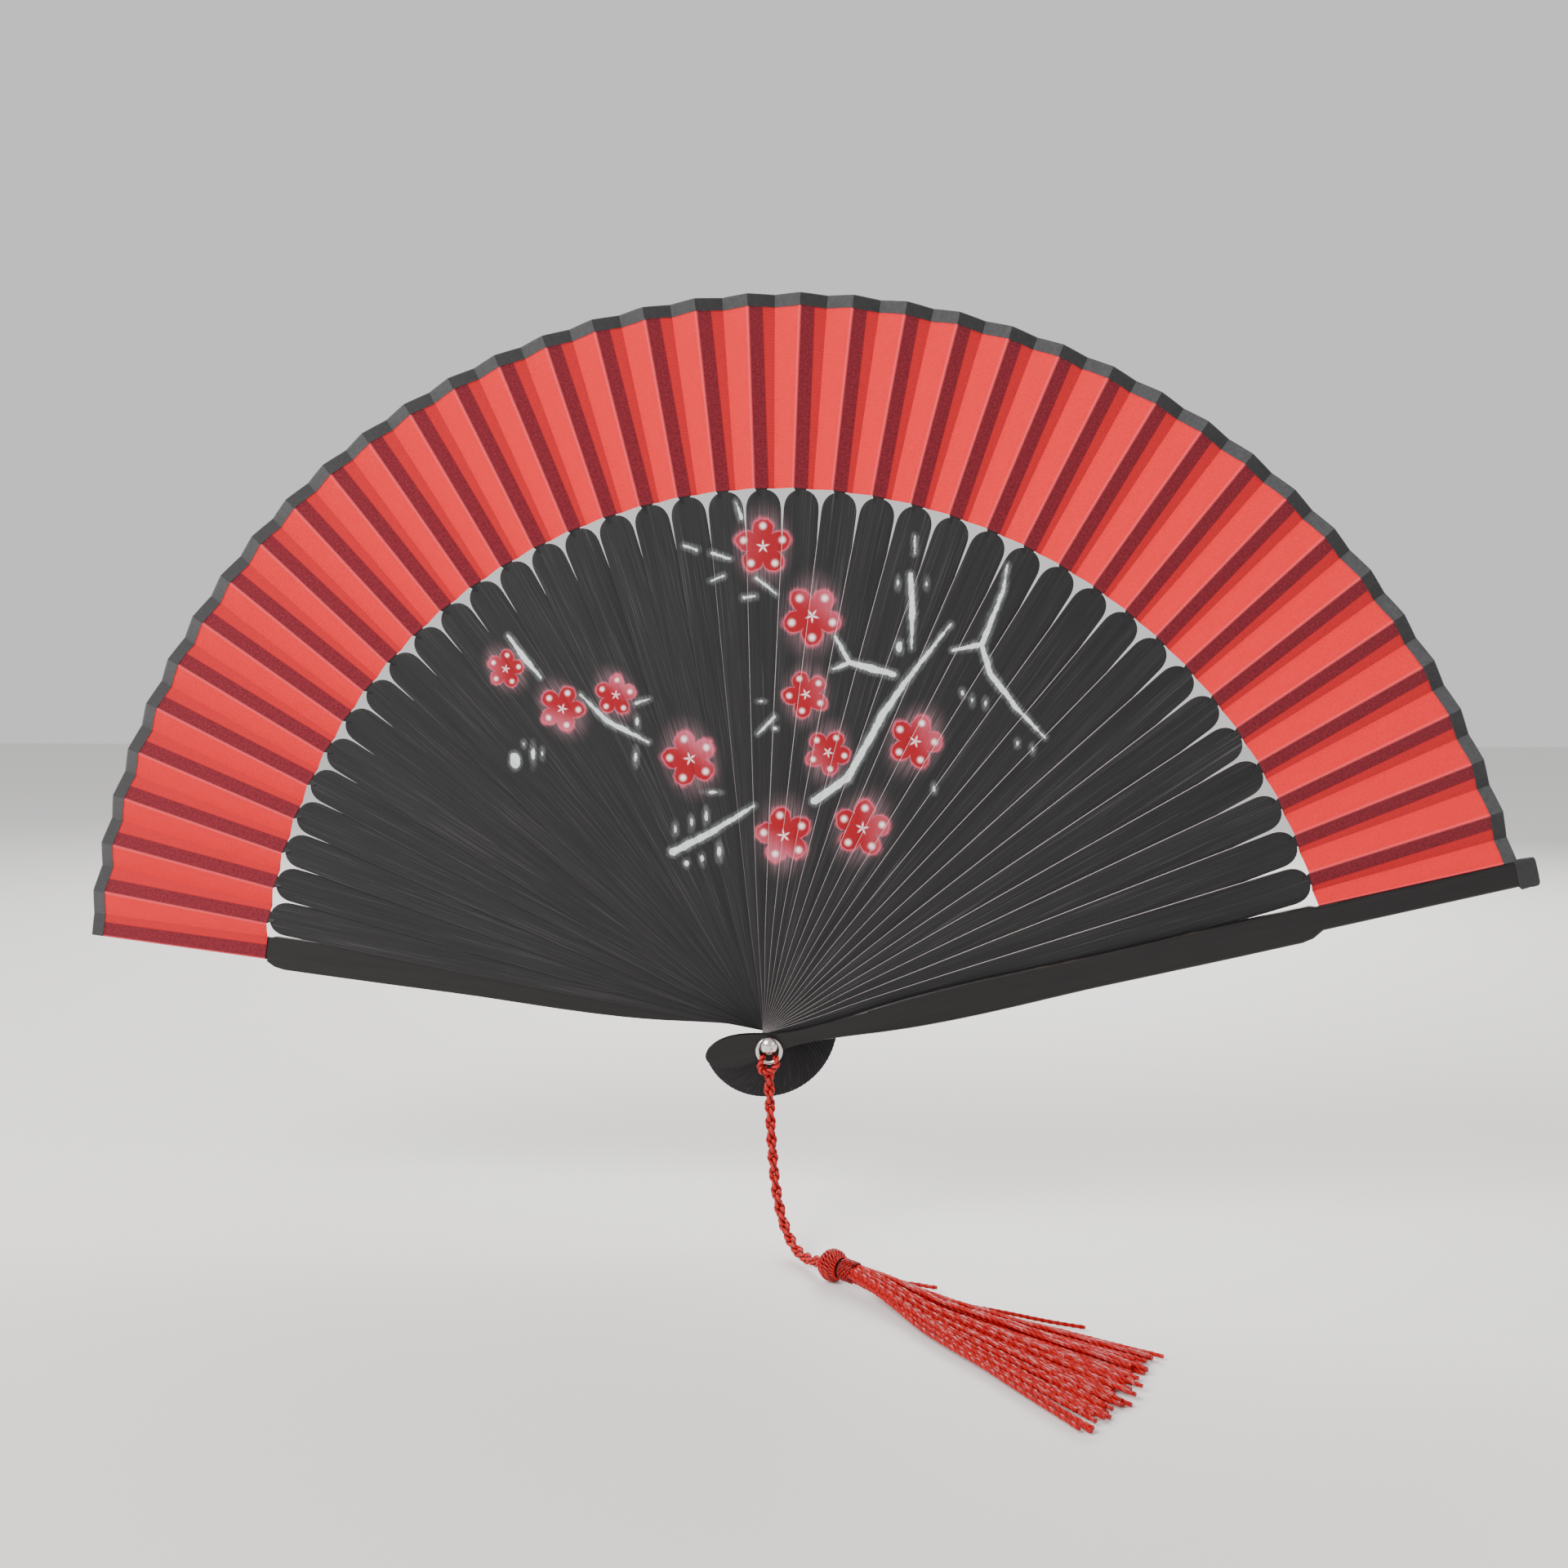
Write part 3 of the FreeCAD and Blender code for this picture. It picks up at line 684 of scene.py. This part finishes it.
def cloth_finish(name, backed):
    """Red woven cloth, painted darker as shade on the glued faces: most over a slip, mottled by the glue,
    with a painted shade line at the slip's edge.
    """
    finish = Finish(name, Roughness=0.78, Sheen_Weight=0.18, Sheen_Roughness=0.5, Specular_IOR_Level=0.25)
    place = finish.stored("cloth", "Vector")
    from_fold, radius, share = finish.parts(place)
    rows = finish.math("SINE", radius * (2 * math.pi / row_pitch))
    columns = finish.math("SINE", from_fold * (2 * math.pi / column_pitch))
    slub = finish.noise(finish.stretched(place, 0.7, 3.4, 0.0), 1.0, 3.0)
    if backed:
        glue = finish.smooth(finish.noise(finish.stretched(place, 1.6, 1.6, 0.0), 1.0, 4.0), 0.25, 0.75)
        # painted shade: the cloth over the slip is painted dark where the slip stops the light from behind,
        # mottled by the glue
        slip_shade = finish.mix(glue, red_green_blue(98, 10, 26), red_green_blue(132, 28, 44))
        # painted shade: beside the slip the glued face is painted darker than the free faces, as a face
        # turned from the light
        shaded_margin = finish.mix(slub, red_green_blue(188, 18, 30), red_green_blue(216, 30, 40))
        shaded_margin = finish.mix(finish.clamp(rows * 0.22 + 0.16), shaded_margin, red_green_blue(132, 8, 20))
        on_slip = finish.smooth(from_fold, 4.0, 3.8)
        colour = finish.mix(on_slip, shaded_margin, slip_shade)
        # painted shade: a dark line along the slip's edge
        edge = finish.smooth(abs(from_fold - glued_width), 0.22, 0.0) * 0.35
        colour = finish.mix(edge, colour, red_green_blue(72, 6, 12))
        crest = finish.smooth(from_fold, 0.50, 0.12) * 0.6
        let_through = 0.18
    else:
        patch = finish.noise(finish.stretched(place, 0.35, 0.11, 0.0), 1.0, 3.0)
        colour = finish.mix(slub, red_green_blue(228, 22, 42), red_green_blue(250, 44, 60))
        colour = finish.mix(finish.clamp(rows * 0.10 + 0.10), colour, red_green_blue(186, 14, 26))
        colour = finish.mix(patch * 0.35, colour, red_green_blue(214, 22, 20))
        crest = finish.smooth(share, 0.90, 0.985) * 0.75
        let_through = 0.42
    # painted highlight: the crest of each fold is painted lighter
    colour = finish.mix(crest, colour, red_green_blue(255, 84, 96))
    finish.feed("Base Color", colour)
    finish.bump(rows * 0.5 + columns * 0.35 + slub, 0.00005, 0.5)
    glow = finish.node("ShaderNodeBsdfTranslucent", None, {"Color": colour})
    both = finish.node("ShaderNodeMixShader", None, {0: let_through})
    finish.tree.links.new(finish.shader.outputs[0], both.inputs[1])
    finish.tree.links.new(glow.outputs[0], both.inputs[2])
    finish.tree.links.new(both.outputs[0], finish.end.inputs["Surface"])
    return finish.material


def stick_name(number):
    return {0: "front_guard", stick_count - 1: "rear_guard"}.get(number, "rib_%02d" % number)


ridge_depth = -1.0325
guard_strip_depth = 12.405


def left_fold(number):
    """The mountain fold ahead of a stick, or the last line of cloth on the rear guard."""
    turn = first_angle + step_angle * number
    if number == 0:
        return dict(Turn=turn, Offset=3.9, Lean=0.0, Depth=-guard_strip_depth, Slope=0.0)
    if number == stick_count - 1:
        return dict(Turn=turn, Offset=2.25, Lean=0.0, Depth=guard_strip_depth, Slope=0.0)
    return dict(Turn=turn, Offset=0.0, Lean=0.92, Depth=stick_level(number) + ridge_depth, Slope=0.0)


def right_fold(number):
    """The valley fold behind a stick, or the first line of cloth on the front guard."""
    turn = first_angle + step_angle * number
    if number == 0:
        return dict(Turn=turn, Offset=-2.25, Lean=0.0, Depth=-guard_strip_depth, Slope=0.0)
    if number == stick_count - 1:
        return dict(Turn=turn, Offset=-3.9, Lean=0.0, Depth=guard_strip_depth, Slope=0.0)
    return dict(Turn=turn, Offset=0.0, Lean=-1.14, Depth=stick_level(number) + ridge_depth, Slope=0.014525)


def face_folds(kind, number):
    """The folds on both sides of a face: a glued one on a stick, or a free one between it and the next."""
    if kind == "glued":
        return left_fold(number), right_fold(number)
    return right_fold(number), left_fold(number - 1)


def on_fold(fold, radius):
    """A point of a fold, in metres."""
    u = fold["Offset"] + radius * math.sin(math.radians(fold["Lean"]))
    direction = math.radians(fold["Turn"]) + math.asin(u / radius)
    depth = fold["Depth"] + fold["Slope"] * radius
    return Vector((radius * math.cos(direction), depth, radius * math.sin(direction))) / 1000.0


def bend_between(piece, number):
    """Fixes a free face's place into its mesh: the points of its two folds are worked out, but nothing uses
    them.
    """
    folds = face_folds("free", number)
    start, other = [on_fold(fold, 165.0) for fold in folds]
    first, second = [on_fold(fold, 189.0) - on_fold(fold, 142.0) for fold in folds]
    across = first.cross(second)
    across.normalize()
    stick_name(number)
    stick_name(number - 1)
    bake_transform(piece)


free_face_seed = 50


def strip_face(shape, name, kind, number, finish, slot, stands_for, **sizes):
    """One face of the leaf or of its ribbon: glued, it rides on its stick, and free, it rides on none."""
    for end, fold in zip("12", face_folds(kind, number)):
        sizes.update({size + end: value for size, value in fold.items()})
    sizes["Number"] = number if kind == "glued" else number + free_face_seed
    body = stick_name(number) if kind == "glued" else None
    face = shape.piece("%s_%s_%02d" % (name, kind, number), finish, body, slot, [stands_for], **sizes)
    if kind == "free":
        bend_between(face, number)
    return face


red_cloth = {"glued": cloth_finish("red_cloth_on_slips", True), "free": cloth_finish("red_cloth_free", False)}
leaf_faces = {}
for number in range(stick_count):
    guarded = number in (0, stick_count - 1)
    for kind, sag in (("glued", 0.0 if guarded else 0.05), ("free", -0.10)):
        if kind == "glued" or number:
            leaf_faces[kind, number] = strip_face(
                leaf_shape, "leaf", kind, number, red_cloth[kind], "leaf_red", "leaf", Sag=sag)


# The edge ribbon
# A narrow black ribbon, folded over the leaf's outer edge and glued, so that it is pleated with the leaf.
# It is greyer towards the left end.
ribbon_shape = Shape(
    "ribbon face", **fold_sizes, Outer=leaf_outer, Width=3.0, Thickness=0.12, Gap=0.16, Number=0.0)


def ribbon_tree():
    tree = ribbon_shape
    block = tree.slab(17, 5)
    s, v, w = tree.parts(tree.get("GeometryNodeInputPosition"))
    way = s + 0.5
    share = v + 0.5
    spot = tree.point(share * 1.4, tree.size("Number") * 3.7, 0.0)
    wavy = tree.get("ShaderNodeTexNoise", None, {"Vector": spot, "Scale": 1.0, "Detail": 1.0}) - 0.5
    leg = tree.clamp(tree.math("MINIMUM", way, 1.0 - way) / 0.44)
    turned = tree.clamp((way - 0.44) / 0.12) * math.pi
    # it lies a little off the cloth, and turns back over the edge in its middle
    standing = tree.size("Gap") + w * tree.size("Thickness") + abs(wavy) * 0.10
    open_edge = tree.size("Outer") - tree.size("Width") + wavy * 0.5 * (1.0 - leg)
    radius = open_edge + (tree.size("Outer") - open_edge) * leg + tree.math("SINE", turned) * standing
    direction, depth, width = between_folds(tree, radius, share)
    depth = depth - tree.math("COSINE", turned) * standing
    face = tree.kept(block, "cloth", tree.point(share * width, radius, share), "FLOAT_VECTOR")
    tree.done(tree.moved(face, on_arc(tree, radius, direction, depth)))


ribbon_tree()


def ribbon_finish(name, low, high):
    """Black woven ribbon with fine cross ribs and a lint-grey bloom."""
    finish = Finish(name, Roughness=0.82, Sheen_Weight=0.25, Sheen_Roughness=0.45, Specular_IOR_Level=0.3)
    from_fold = finish.parts(finish.stored("cloth", "Vector"))[0]
    place = finish.get("ShaderNodeTexCoord", None, None, "Object")
    across = finish.parts(place)[0]
    rows = finish.math("SINE", from_fold * (2 * math.pi / 0.34))
    lint = finish.noise(finish.stretched(place, 900.0, 900.0, 900.0), 1.0, 4.0)
    greyer_leftward = finish.smooth(across, 0.02, -0.19) * 0.25
    colour = finish.mix(finish.clamp(lint * 0.8 + rows * 0.10 - 0.05), low, high)
    colour = finish.mix(greyer_leftward, colour, red_green_blue(84, 82, 82))
    finish.feed("Base Color", colour)
    finish.bump(rows * 0.5 + lint * 0.7, 0.00005, 0.6)
    return finish.material


# painted light and shade: the same black ribbon is painted darker on the faces over the slips, as shaded
# faces, and lighter on the faces between them, as lit faces
black_ribbon = {
    "glued": ribbon_finish("black_ribbon_over_slips", red_green_blue(27, 28, 30), red_green_blue(49, 50, 52)),
    "free": ribbon_finish("black_ribbon_between", red_green_blue(43, 44, 46), red_green_blue(74, 75, 77)),
}


def flat_area(first, second):
    """The cut area of one face of the leaf, from its width at both edges."""
    wide = [(on_fold(first, r) - on_fold(second, r)).length for r in (leaf_inner, leaf_outer)]
    return sum(wide) / 2 * (leaf_outer - leaf_inner) / 1000.0


for (kind, number), face in leaf_faces.items():
    edge = strip_face(
        ribbon_shape, "ribbon", kind, number, black_ribbon[kind], "ribbon_black", "edge_ribbon")
    stick_name(number)
    flat_area(*face_folds(kind, number))


# the ribbon's loose end is turned round the front guard's tip and pressed flat
wrap_shape = Shape(
    "ribbon end", Inner=188.8, Outer=193.7, Near=4.35, Far=-3.05, Front=-14.0, Back=-12.15)


def wrap_tree():
    tree = wrap_shape
    near, far = tree.size("Near"), tree.size("Far")
    front, back = tree.size("Front"), tree.size("Back")
    block = tree.slab(14, 16, 6)
    s, v, w = tree.parts(tree.get("GeometryNodeInputPosition"))
    squared = tree.math("MAXIMUM", abs(v), abs(w)) / ((v ** 4.0 + w ** 4.0) ** 0.25 + 0.00001)
    shut = 1.0 - tree.smooth(abs(s), 0.40, 0.5) * 0.16
    x = tree.size("Inner") + (tree.size("Outer") - tree.size("Inner")) * (s + 0.5)
    spot = tree.point(x * 0.5, v * 2.5, w * 2.0)
    crumple = tree.get("ShaderNodeTexNoise", None, {"Vector": spot, "Scale": 1.0, "Detail": 2.0}) - 0.5
    fuller = squared * shut * (1.0 + crumple * 0.22)
    u = (near + far) * 0.5 + (near - far) * v * fuller
    y = (front + back) * 0.5 + (back - front) * w * fuller
    block = tree.kept(block, "cloth", tree.point(v * 9.0, x, 0.5), "FLOAT_VECTOR")
    turn = math.radians(first_angle)
    place = tree.point(x * math.cos(turn) - u * math.sin(turn), y, x * math.sin(turn) + u * math.cos(turn))
    tree.done(tree.moved(block, place))


wrap_tree()
wrap_shape.piece("ribbon_end", black_ribbon["glued"], "front_guard", "ribbon_black")


# The tassel's cord
# A shiny red two-ply cord, doubled: its two strands are twisted together, hang from the ring, bend forward
# under their own weight and lie down on the floor where the tassel's head is.
def smooth_route(points):
    """A mesh line along a spline that has these millimetre points as its control points."""
    route = bpy.data.curves.new("route", "CURVE")
    route.dimensions = "3D"
    route.resolution_u = 14
    spline = route.splines.new("NURBS")
    spline.points.add(len(points) - 1)
    for control, place in zip(spline.points, points):
        control.co = (place[0] / 1000.0, place[1] / 1000.0, place[2] / 1000.0, 1.0)
    spline.order_u = 3
    spline.use_endpoint_u = True
    holder = bpy.data.objects.new("route", route)
    scene.collection.objects.link(holder)
    seen = bpy.context.evaluated_depsgraph_get()
    line = bpy.data.meshes.new_from_object(holder.evaluated_get(seen), depsgraph=seen)
    bpy.data.objects.remove(holder)
    return line


strand_shape = Shape(
    "twisted strands", Strands=2.0, Apart=0.64, SlowTurns=7.0, Ply=0.82, Pitch=-3.3, Samples=200.0)


def ply_profile(tree, radius, corners=12):
    """A thread's section: two plies side by side, which the thread's twist turns into a rope."""
    ring = tree.get("GeometryNodeCurvePrimitiveCircle", None, {"Resolution": corners, "Radius": 1.0})
    a, b = tree.parts(tree.get("GeometryNodeInputPosition"))[:2]
    lobe = abs(a) * 0.34 + 0.66
    around = tree.get("GeometryNodeSplineParameter")
    ring = tree.kept(tree.kept(ring, "around", around), "crest", abs(a))
    return tree.moved(ring, tree.point(a * lobe * radius, b * lobe * radius, 0.0))


def as_thread(tree, curve, radius, pitch, corners=12):
    """Sweeps a thread's section along a curve, twisted once for each pitch."""
    length = tree.get("GeometryNodeSplineParameter", None, None, "Length")
    tilt = length * (2 * math.pi) / pitch
    twisted = tree.get("GeometryNodeSetCurveTilt", None, {"Curve": curve, "Tilt": tilt})
    twisted = tree.kept(twisted, "along", length)
    section = ply_profile(tree, radius, corners)
    inputs = {"Curve": twisted, "Profile Curve": section, "Fill Caps": True}
    return tree.get("GeometryNodeCurveToMesh", None, inputs)


def strand_tree():
    tree = strand_shape
    inputs = {"Geometry": tree.size("Geometry"), "Scale": (1000.0,) * 3}
    path = tree.get("GeometryNodeTransform", None, inputs)
    path = tree.get("GeometryNodeMeshToCurve", None, {"Mesh": path})
    path = tree.get("GeometryNodeResampleCurve", None, {"Curve": path, "Count": tree.size("Samples")})
    factor = tree.get("GeometryNodeSplineParameter")
    normal = tree.get("GeometryNodeInputNormal")
    side = tree.vectors("CROSS_PRODUCT", {0: tree.get("GeometryNodeInputTangent"), 1: normal})
    threads = []
    for k in range(2):
        turn = factor * tree.size("SlowTurns") * (2 * math.pi) + math.pi * k + 0.4
        away = tree.vectors("SCALE", {0: normal, "Scale": tree.math("COSINE", turn)})
        aside = tree.vectors("SCALE", {0: side, "Scale": tree.math("SINE", turn)})
        total = tree.vectors("ADD", {0: away, 1: aside})
        total = tree.vectors("SCALE", {0: total, "Scale": tree.size("Apart")})
        strand = tree.get("GeometryNodeSetPosition", None, {"Geometry": path, "Offset": total})
        threads.append(as_thread(tree, strand, tree.size("Ply"), tree.size("Pitch")))
    second = tree.get(
        "GeometryNodeSwitch", {"input_type": "GEOMETRY"},
        {"Switch": tree.size("Strands") > 1.5, "True": threads[1]})
    tree.done(tree.joined(threads[0], second))


strand_tree()


def silk_finish(name, low, high):
    """Dyed viscose thread: glossy, with its fibres running along each ply."""
    finish = Finish(name, Specular_IOR_Level=0.26, Coat_Weight=0.04, Coat_Roughness=0.2)
    place = finish.get("ShaderNodeTexCoord", None, None, "Object")
    cloudy = finish.noise(finish.stretched(place, 420.0, 420.0, 420.0), 1.0, 3.0)
    around = finish.stored("around")
    along = finish.stored("along")
    fibre = finish.noise(finish.point(along * 0.5, around * 22.0, 0.0), 1.0, 3.0)
    colour = finish.mix(finish.clamp(fibre * 0.7 + cloudy * 0.6 - 0.15), low, high)
    # painted shade: it is painted darkest in the groove between the two plies, and on the cores that the
    # threads hide
    clear_of_groove_shade = finish.smooth(finish.stored("crest"), 0.15, 0.85)
    colour = finish.mix(clear_of_groove_shade, red_green_blue(76, 0, 2), colour)
    finish.feed("Base Color", colour)
    finish.feed("Roughness", 0.34 + 0.20 * fibre)
    finish.bump(fibre, 0.00006, 0.6)
    return finish.material


cord_silk = silk_finish("red_silk_cord", red_green_blue(146, 0, 3), red_green_blue(212, 0, 5))
cord_route = [
    (0.0, -14.55, -6.85), (0.2, -14.9, -15.5), (0.9, -16.3, -26.5), (2.0, -18.6, -36.5),
    (4.4, -22.8, -44.2), (8.0, -29.4, -48.0), (12.2, -36.4, -47.6), (14.6, -39.8, -46.1),
]
cord_line = smooth_route(cord_route)
tassel_cord = strand_shape.piece(
    "silk_cord", cord_silk, None, "tassel_red", ["tassel_cord"], base=cord_line)
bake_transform(tassel_cord)


# The hitch
# The doubled cord's loop, of the same red silk. It is passed through the ring and over its own two ends
# and pulled tight, so that the tassel hangs from the ring.
hitch_silk = silk_finish("red_silk_hitch", red_green_blue(146, 0, 4), red_green_blue(214, 0, 8))
hitch_route = [
    (-0.55, -14.8, -8.0), (-0.70, -14.7, -7.0), (-1.30, -13.8, -5.9), (-1.60, -13.3, -4.5),
    (-1.55, -13.6, -3.3), (-1.55, -14.6, -3.0), (-1.95, -15.6, -3.9), (-2.35, -15.9, -5.3),
    (-1.80, -16.1, -6.6), (-0.3, -16.2, -6.5), (1.1, -16.1, -5.9), (2.2, -15.9, -4.9),
    (2.15, -15.6, -3.7), (1.60, -14.6, -3.0), (1.55, -13.6, -3.3), (1.60, -13.3, -4.5),
    (1.30, -13.8, -5.9), (0.70, -14.7, -7.0), (0.55, -14.8, -8.0),
]
strand_shape.piece(
    "silk_hitch", hitch_silk, "ring", "tassel_red", ["tassel_hitch"], base=smooth_route(hitch_route),
    Strands=1.0, Apart=0.0, SlowTurns=0.0, Ply=0.76, Pitch=3.1, Samples=140.0)


# The tassel's head
# A ball of the skirt's own red threads, turned up over the cord's knotted end, and bound below with five
# tight turns of the same thread.
route_end = Vector(cord_route[-1]) / 1000.0
skirt_end = Vector((0.0777, -0.0975, -0.0468))
lie = (skirt_end - route_end).normalized()
lateral = lie.cross(Vector((0, 0, 1))).normalized()
upward = lateral.cross(lie).normalized()


def lying_at(distance):
    """Lays a piece that is drawn upright along the tassel, this far from the cord's end."""
    turn = Matrix((upward, lateral, lie)).transposed().to_4x4()
    return Matrix.Translation(route_end + lie * (distance / 1000.0)) @ turn


head_shape = Shape("tassel head", Radius=3.0, Strands=25.0, Ply=0.44, Pitch=3.2)


def spread_copies(tree, count, samples):
    """Copies of one straight line, with the share along each and the number of the copy."""
    ends = {"Start": (0.0, 0.0, 0.0), "End": (0.0, 0.0, 1.0)}
    line = tree.get("GeometryNodeCurvePrimitiveLine", None, ends)
    line = tree.get("GeometryNodeResampleCurve", None, {"Curve": line, "Count": samples})
    spots = tree.get("GeometryNodeMeshLine", None, {"Count": count})
    copies = tree.get("GeometryNodeInstanceOnPoints", None, {"Points": spots, "Instance": line})
    copies = tree.get("GeometryNodeRealizeInstances", None, {0: copies})
    factor = tree.get("GeometryNodeSplineParameter")
    index = tree.get("GeometryNodeInputIndex")
    settings = {"domain": "CURVE", "data_type": "FLOAT"}
    number = tree.get("GeometryNodeFieldOnDomain", settings, {0: index})
    return copies, factor, number


def head_tree():
    tree = head_shape
    copies, factor, number = spread_copies(tree, tree.size("Strands"), 44)
    polar = factor * (math.pi * 0.72) + math.pi * 0.06
    turn = number / tree.size("Strands") * (2 * math.pi) + factor * 0.5
    jitter = tree.math("SINE", number * 12.9) * 0.07
    ball = tree.size("Radius") + jitter
    ring = tree.math("SINE", polar) * (ball + 0.28) + 0.12
    height = tree.math("COSINE", polar) * ball * -1.04
    lines = tree.moved(copies, tree.point(
        tree.math("COSINE", turn + jitter) * ring, tree.math("SINE", turn + jitter) * ring, height))
    threads = as_thread(tree, lines, tree.size("Ply"), tree.size("Pitch"), 8)
    inputs = {"Segments": 32, "Rings": 18, "Radius": tree.size("Radius")}
    core = tree.get("GeometryNodeMeshUVSphere", None, inputs)
    tree.done(tree.joined(threads, core))


head_tree()
skirt_silk = silk_finish("red_silk_threads", red_green_blue(134, 0, 2), red_green_blue(204, 0, 3))
binding_silk = silk_finish("red_silk_binding", red_green_blue(124, 0, 3), red_green_blue(190, 0, 4))
tassel_head = head_shape.piece(
    "silk_head", skirt_silk, "rib_20", "tassel_red", ["tassel_knob"], place=lying_at(3.45))

binding_shape = Shape("thread winding", Turns=5.5, Radius=2.34, Height=3.7, Ply=0.37)


def binding_tree():
    tree = binding_shape
    inputs = {
        "Resolution": 26, "Rotations": tree.size("Turns"), "Start Radius": tree.size("Radius"),
        "End Radius": tree.size("Radius"), "Height": tree.size("Height"),
    }
    coil = tree.get("GeometryNodeCurveSpiral", None, inputs)
    winding = as_thread(tree, coil, tree.size("Ply"), 2.4, 8)
    core = {"Vertices": 28, "Radius": tree.size("Radius"), "Depth": tree.size("Height") + 0.5}
    core = tree.get("GeometryNodeMeshCylinder", None, core, "Mesh")
    middle = tree.point(0.0, 0.0, tree.size("Height") / 2.0)
    core = tree.get("GeometryNodeTransform", None, {"Geometry": core, "Translation": middle})
    tree.done(tree.joined(winding, core))


binding_tree()
tassel_binding = binding_shape.piece(
    "silk_binding", binding_silk, "rib_20", "tassel_red", ["tassel_binding"], place=lying_at(6.95))


# The skirt
# About sixty loose two-ply threads, cut to nearly one length, that fan out on the floor from the binding.
# Three stray ones lie apart: a short one, one beside the bundle and a thick one on its other side.
skirt_shape = Shape(
    "loose threads", Count=58.0, Turn=1.1, Spread=12.4, Length=75.5, Longer=5.0, Uneven=3.2, Waves=0.55,
    Ply=0.54, Pitch=3.4, Heap=2.5, Seed=3.0,
)


def skirt_tree():
    tree = skirt_shape
    copies, factor, number = spread_copies(tree, tree.size("Count"), 120)

    def chance(seed):
        """An even random number from -1 to 1 for each thread."""
        inputs = {2: -1.0, 3: 1.0, "ID": number, "Seed": tree.size("Seed") + seed}
        return tree.get("FunctionNodeRandomValue", {"data_type": "FLOAT"}, inputs, 1)

    slot = (number + 0.5) / tree.size("Count") * 2.0 - 1.0 + chance(1) * 0.10
    length = tree.size("Length") + slot * tree.size("Longer") + chance(2) * tree.size("Uneven")
    reach = factor * length
    direction = (tree.size("Turn") + slot * tree.size("Spread")) * to_radians
    opening = tree.smooth(reach, -8.0, 34.0) * 0.45 + 0.55
    sway = tree.math("SINE", factor * 5.5 + chance(3) * 3.1) * tree.size("Waves") * factor
    ripple = tree.math("SINE", factor * 17.0 + chance(4) * 3.1) * 0.16
    aside = tree.math("SINE", direction) * reach * opening + slot * 2.0 + sway + ripple
    settled = tree.smooth(reach, 0.0, 30.0)
    layer = (chance(5) + 1.0) * 0.5
    lowest = -3.14 + factor * 0.50
    resting = lowest + layer * tree.size("Heap") * (1.0 - factor * 0.55)
    bundle = chance(5) * (1.0 - slot * slot) ** 0.5 * 1.9
    height = bundle + (resting - bundle) * settled
    forward = tree.math("COSINE", direction) * reach
    lines = tree.moved(copies, tree.point(height, aside, forward))
    tree.done(as_thread(tree, lines, tree.size("Ply"), tree.size("Pitch"), 6))


skirt_tree()
at_binding = lying_at(10.6)
for name, sizes in (
    ("silk_skirt", {}),
    ("stray_short", dict(Count=1, Turn=-40.0, Length=20.5, Longer=0.0, Uneven=0.0, Seed=11.0)),
    ("stray_inner", dict(Count=1, Turn=-19.5, Length=55.0, Longer=0.0, Uneven=0.0, Seed=12.0)),
    ("stray_outer", dict(Count=1, Turn=15.0, Length=83.5, Longer=0.0, Uneven=0.0, Ply=0.62, Seed=17.0)),
):
    skirt_shape.piece(name, skirt_silk, "rib_20", "tassel_red", ["tassel_skirt"], place=at_binding, **sizes)
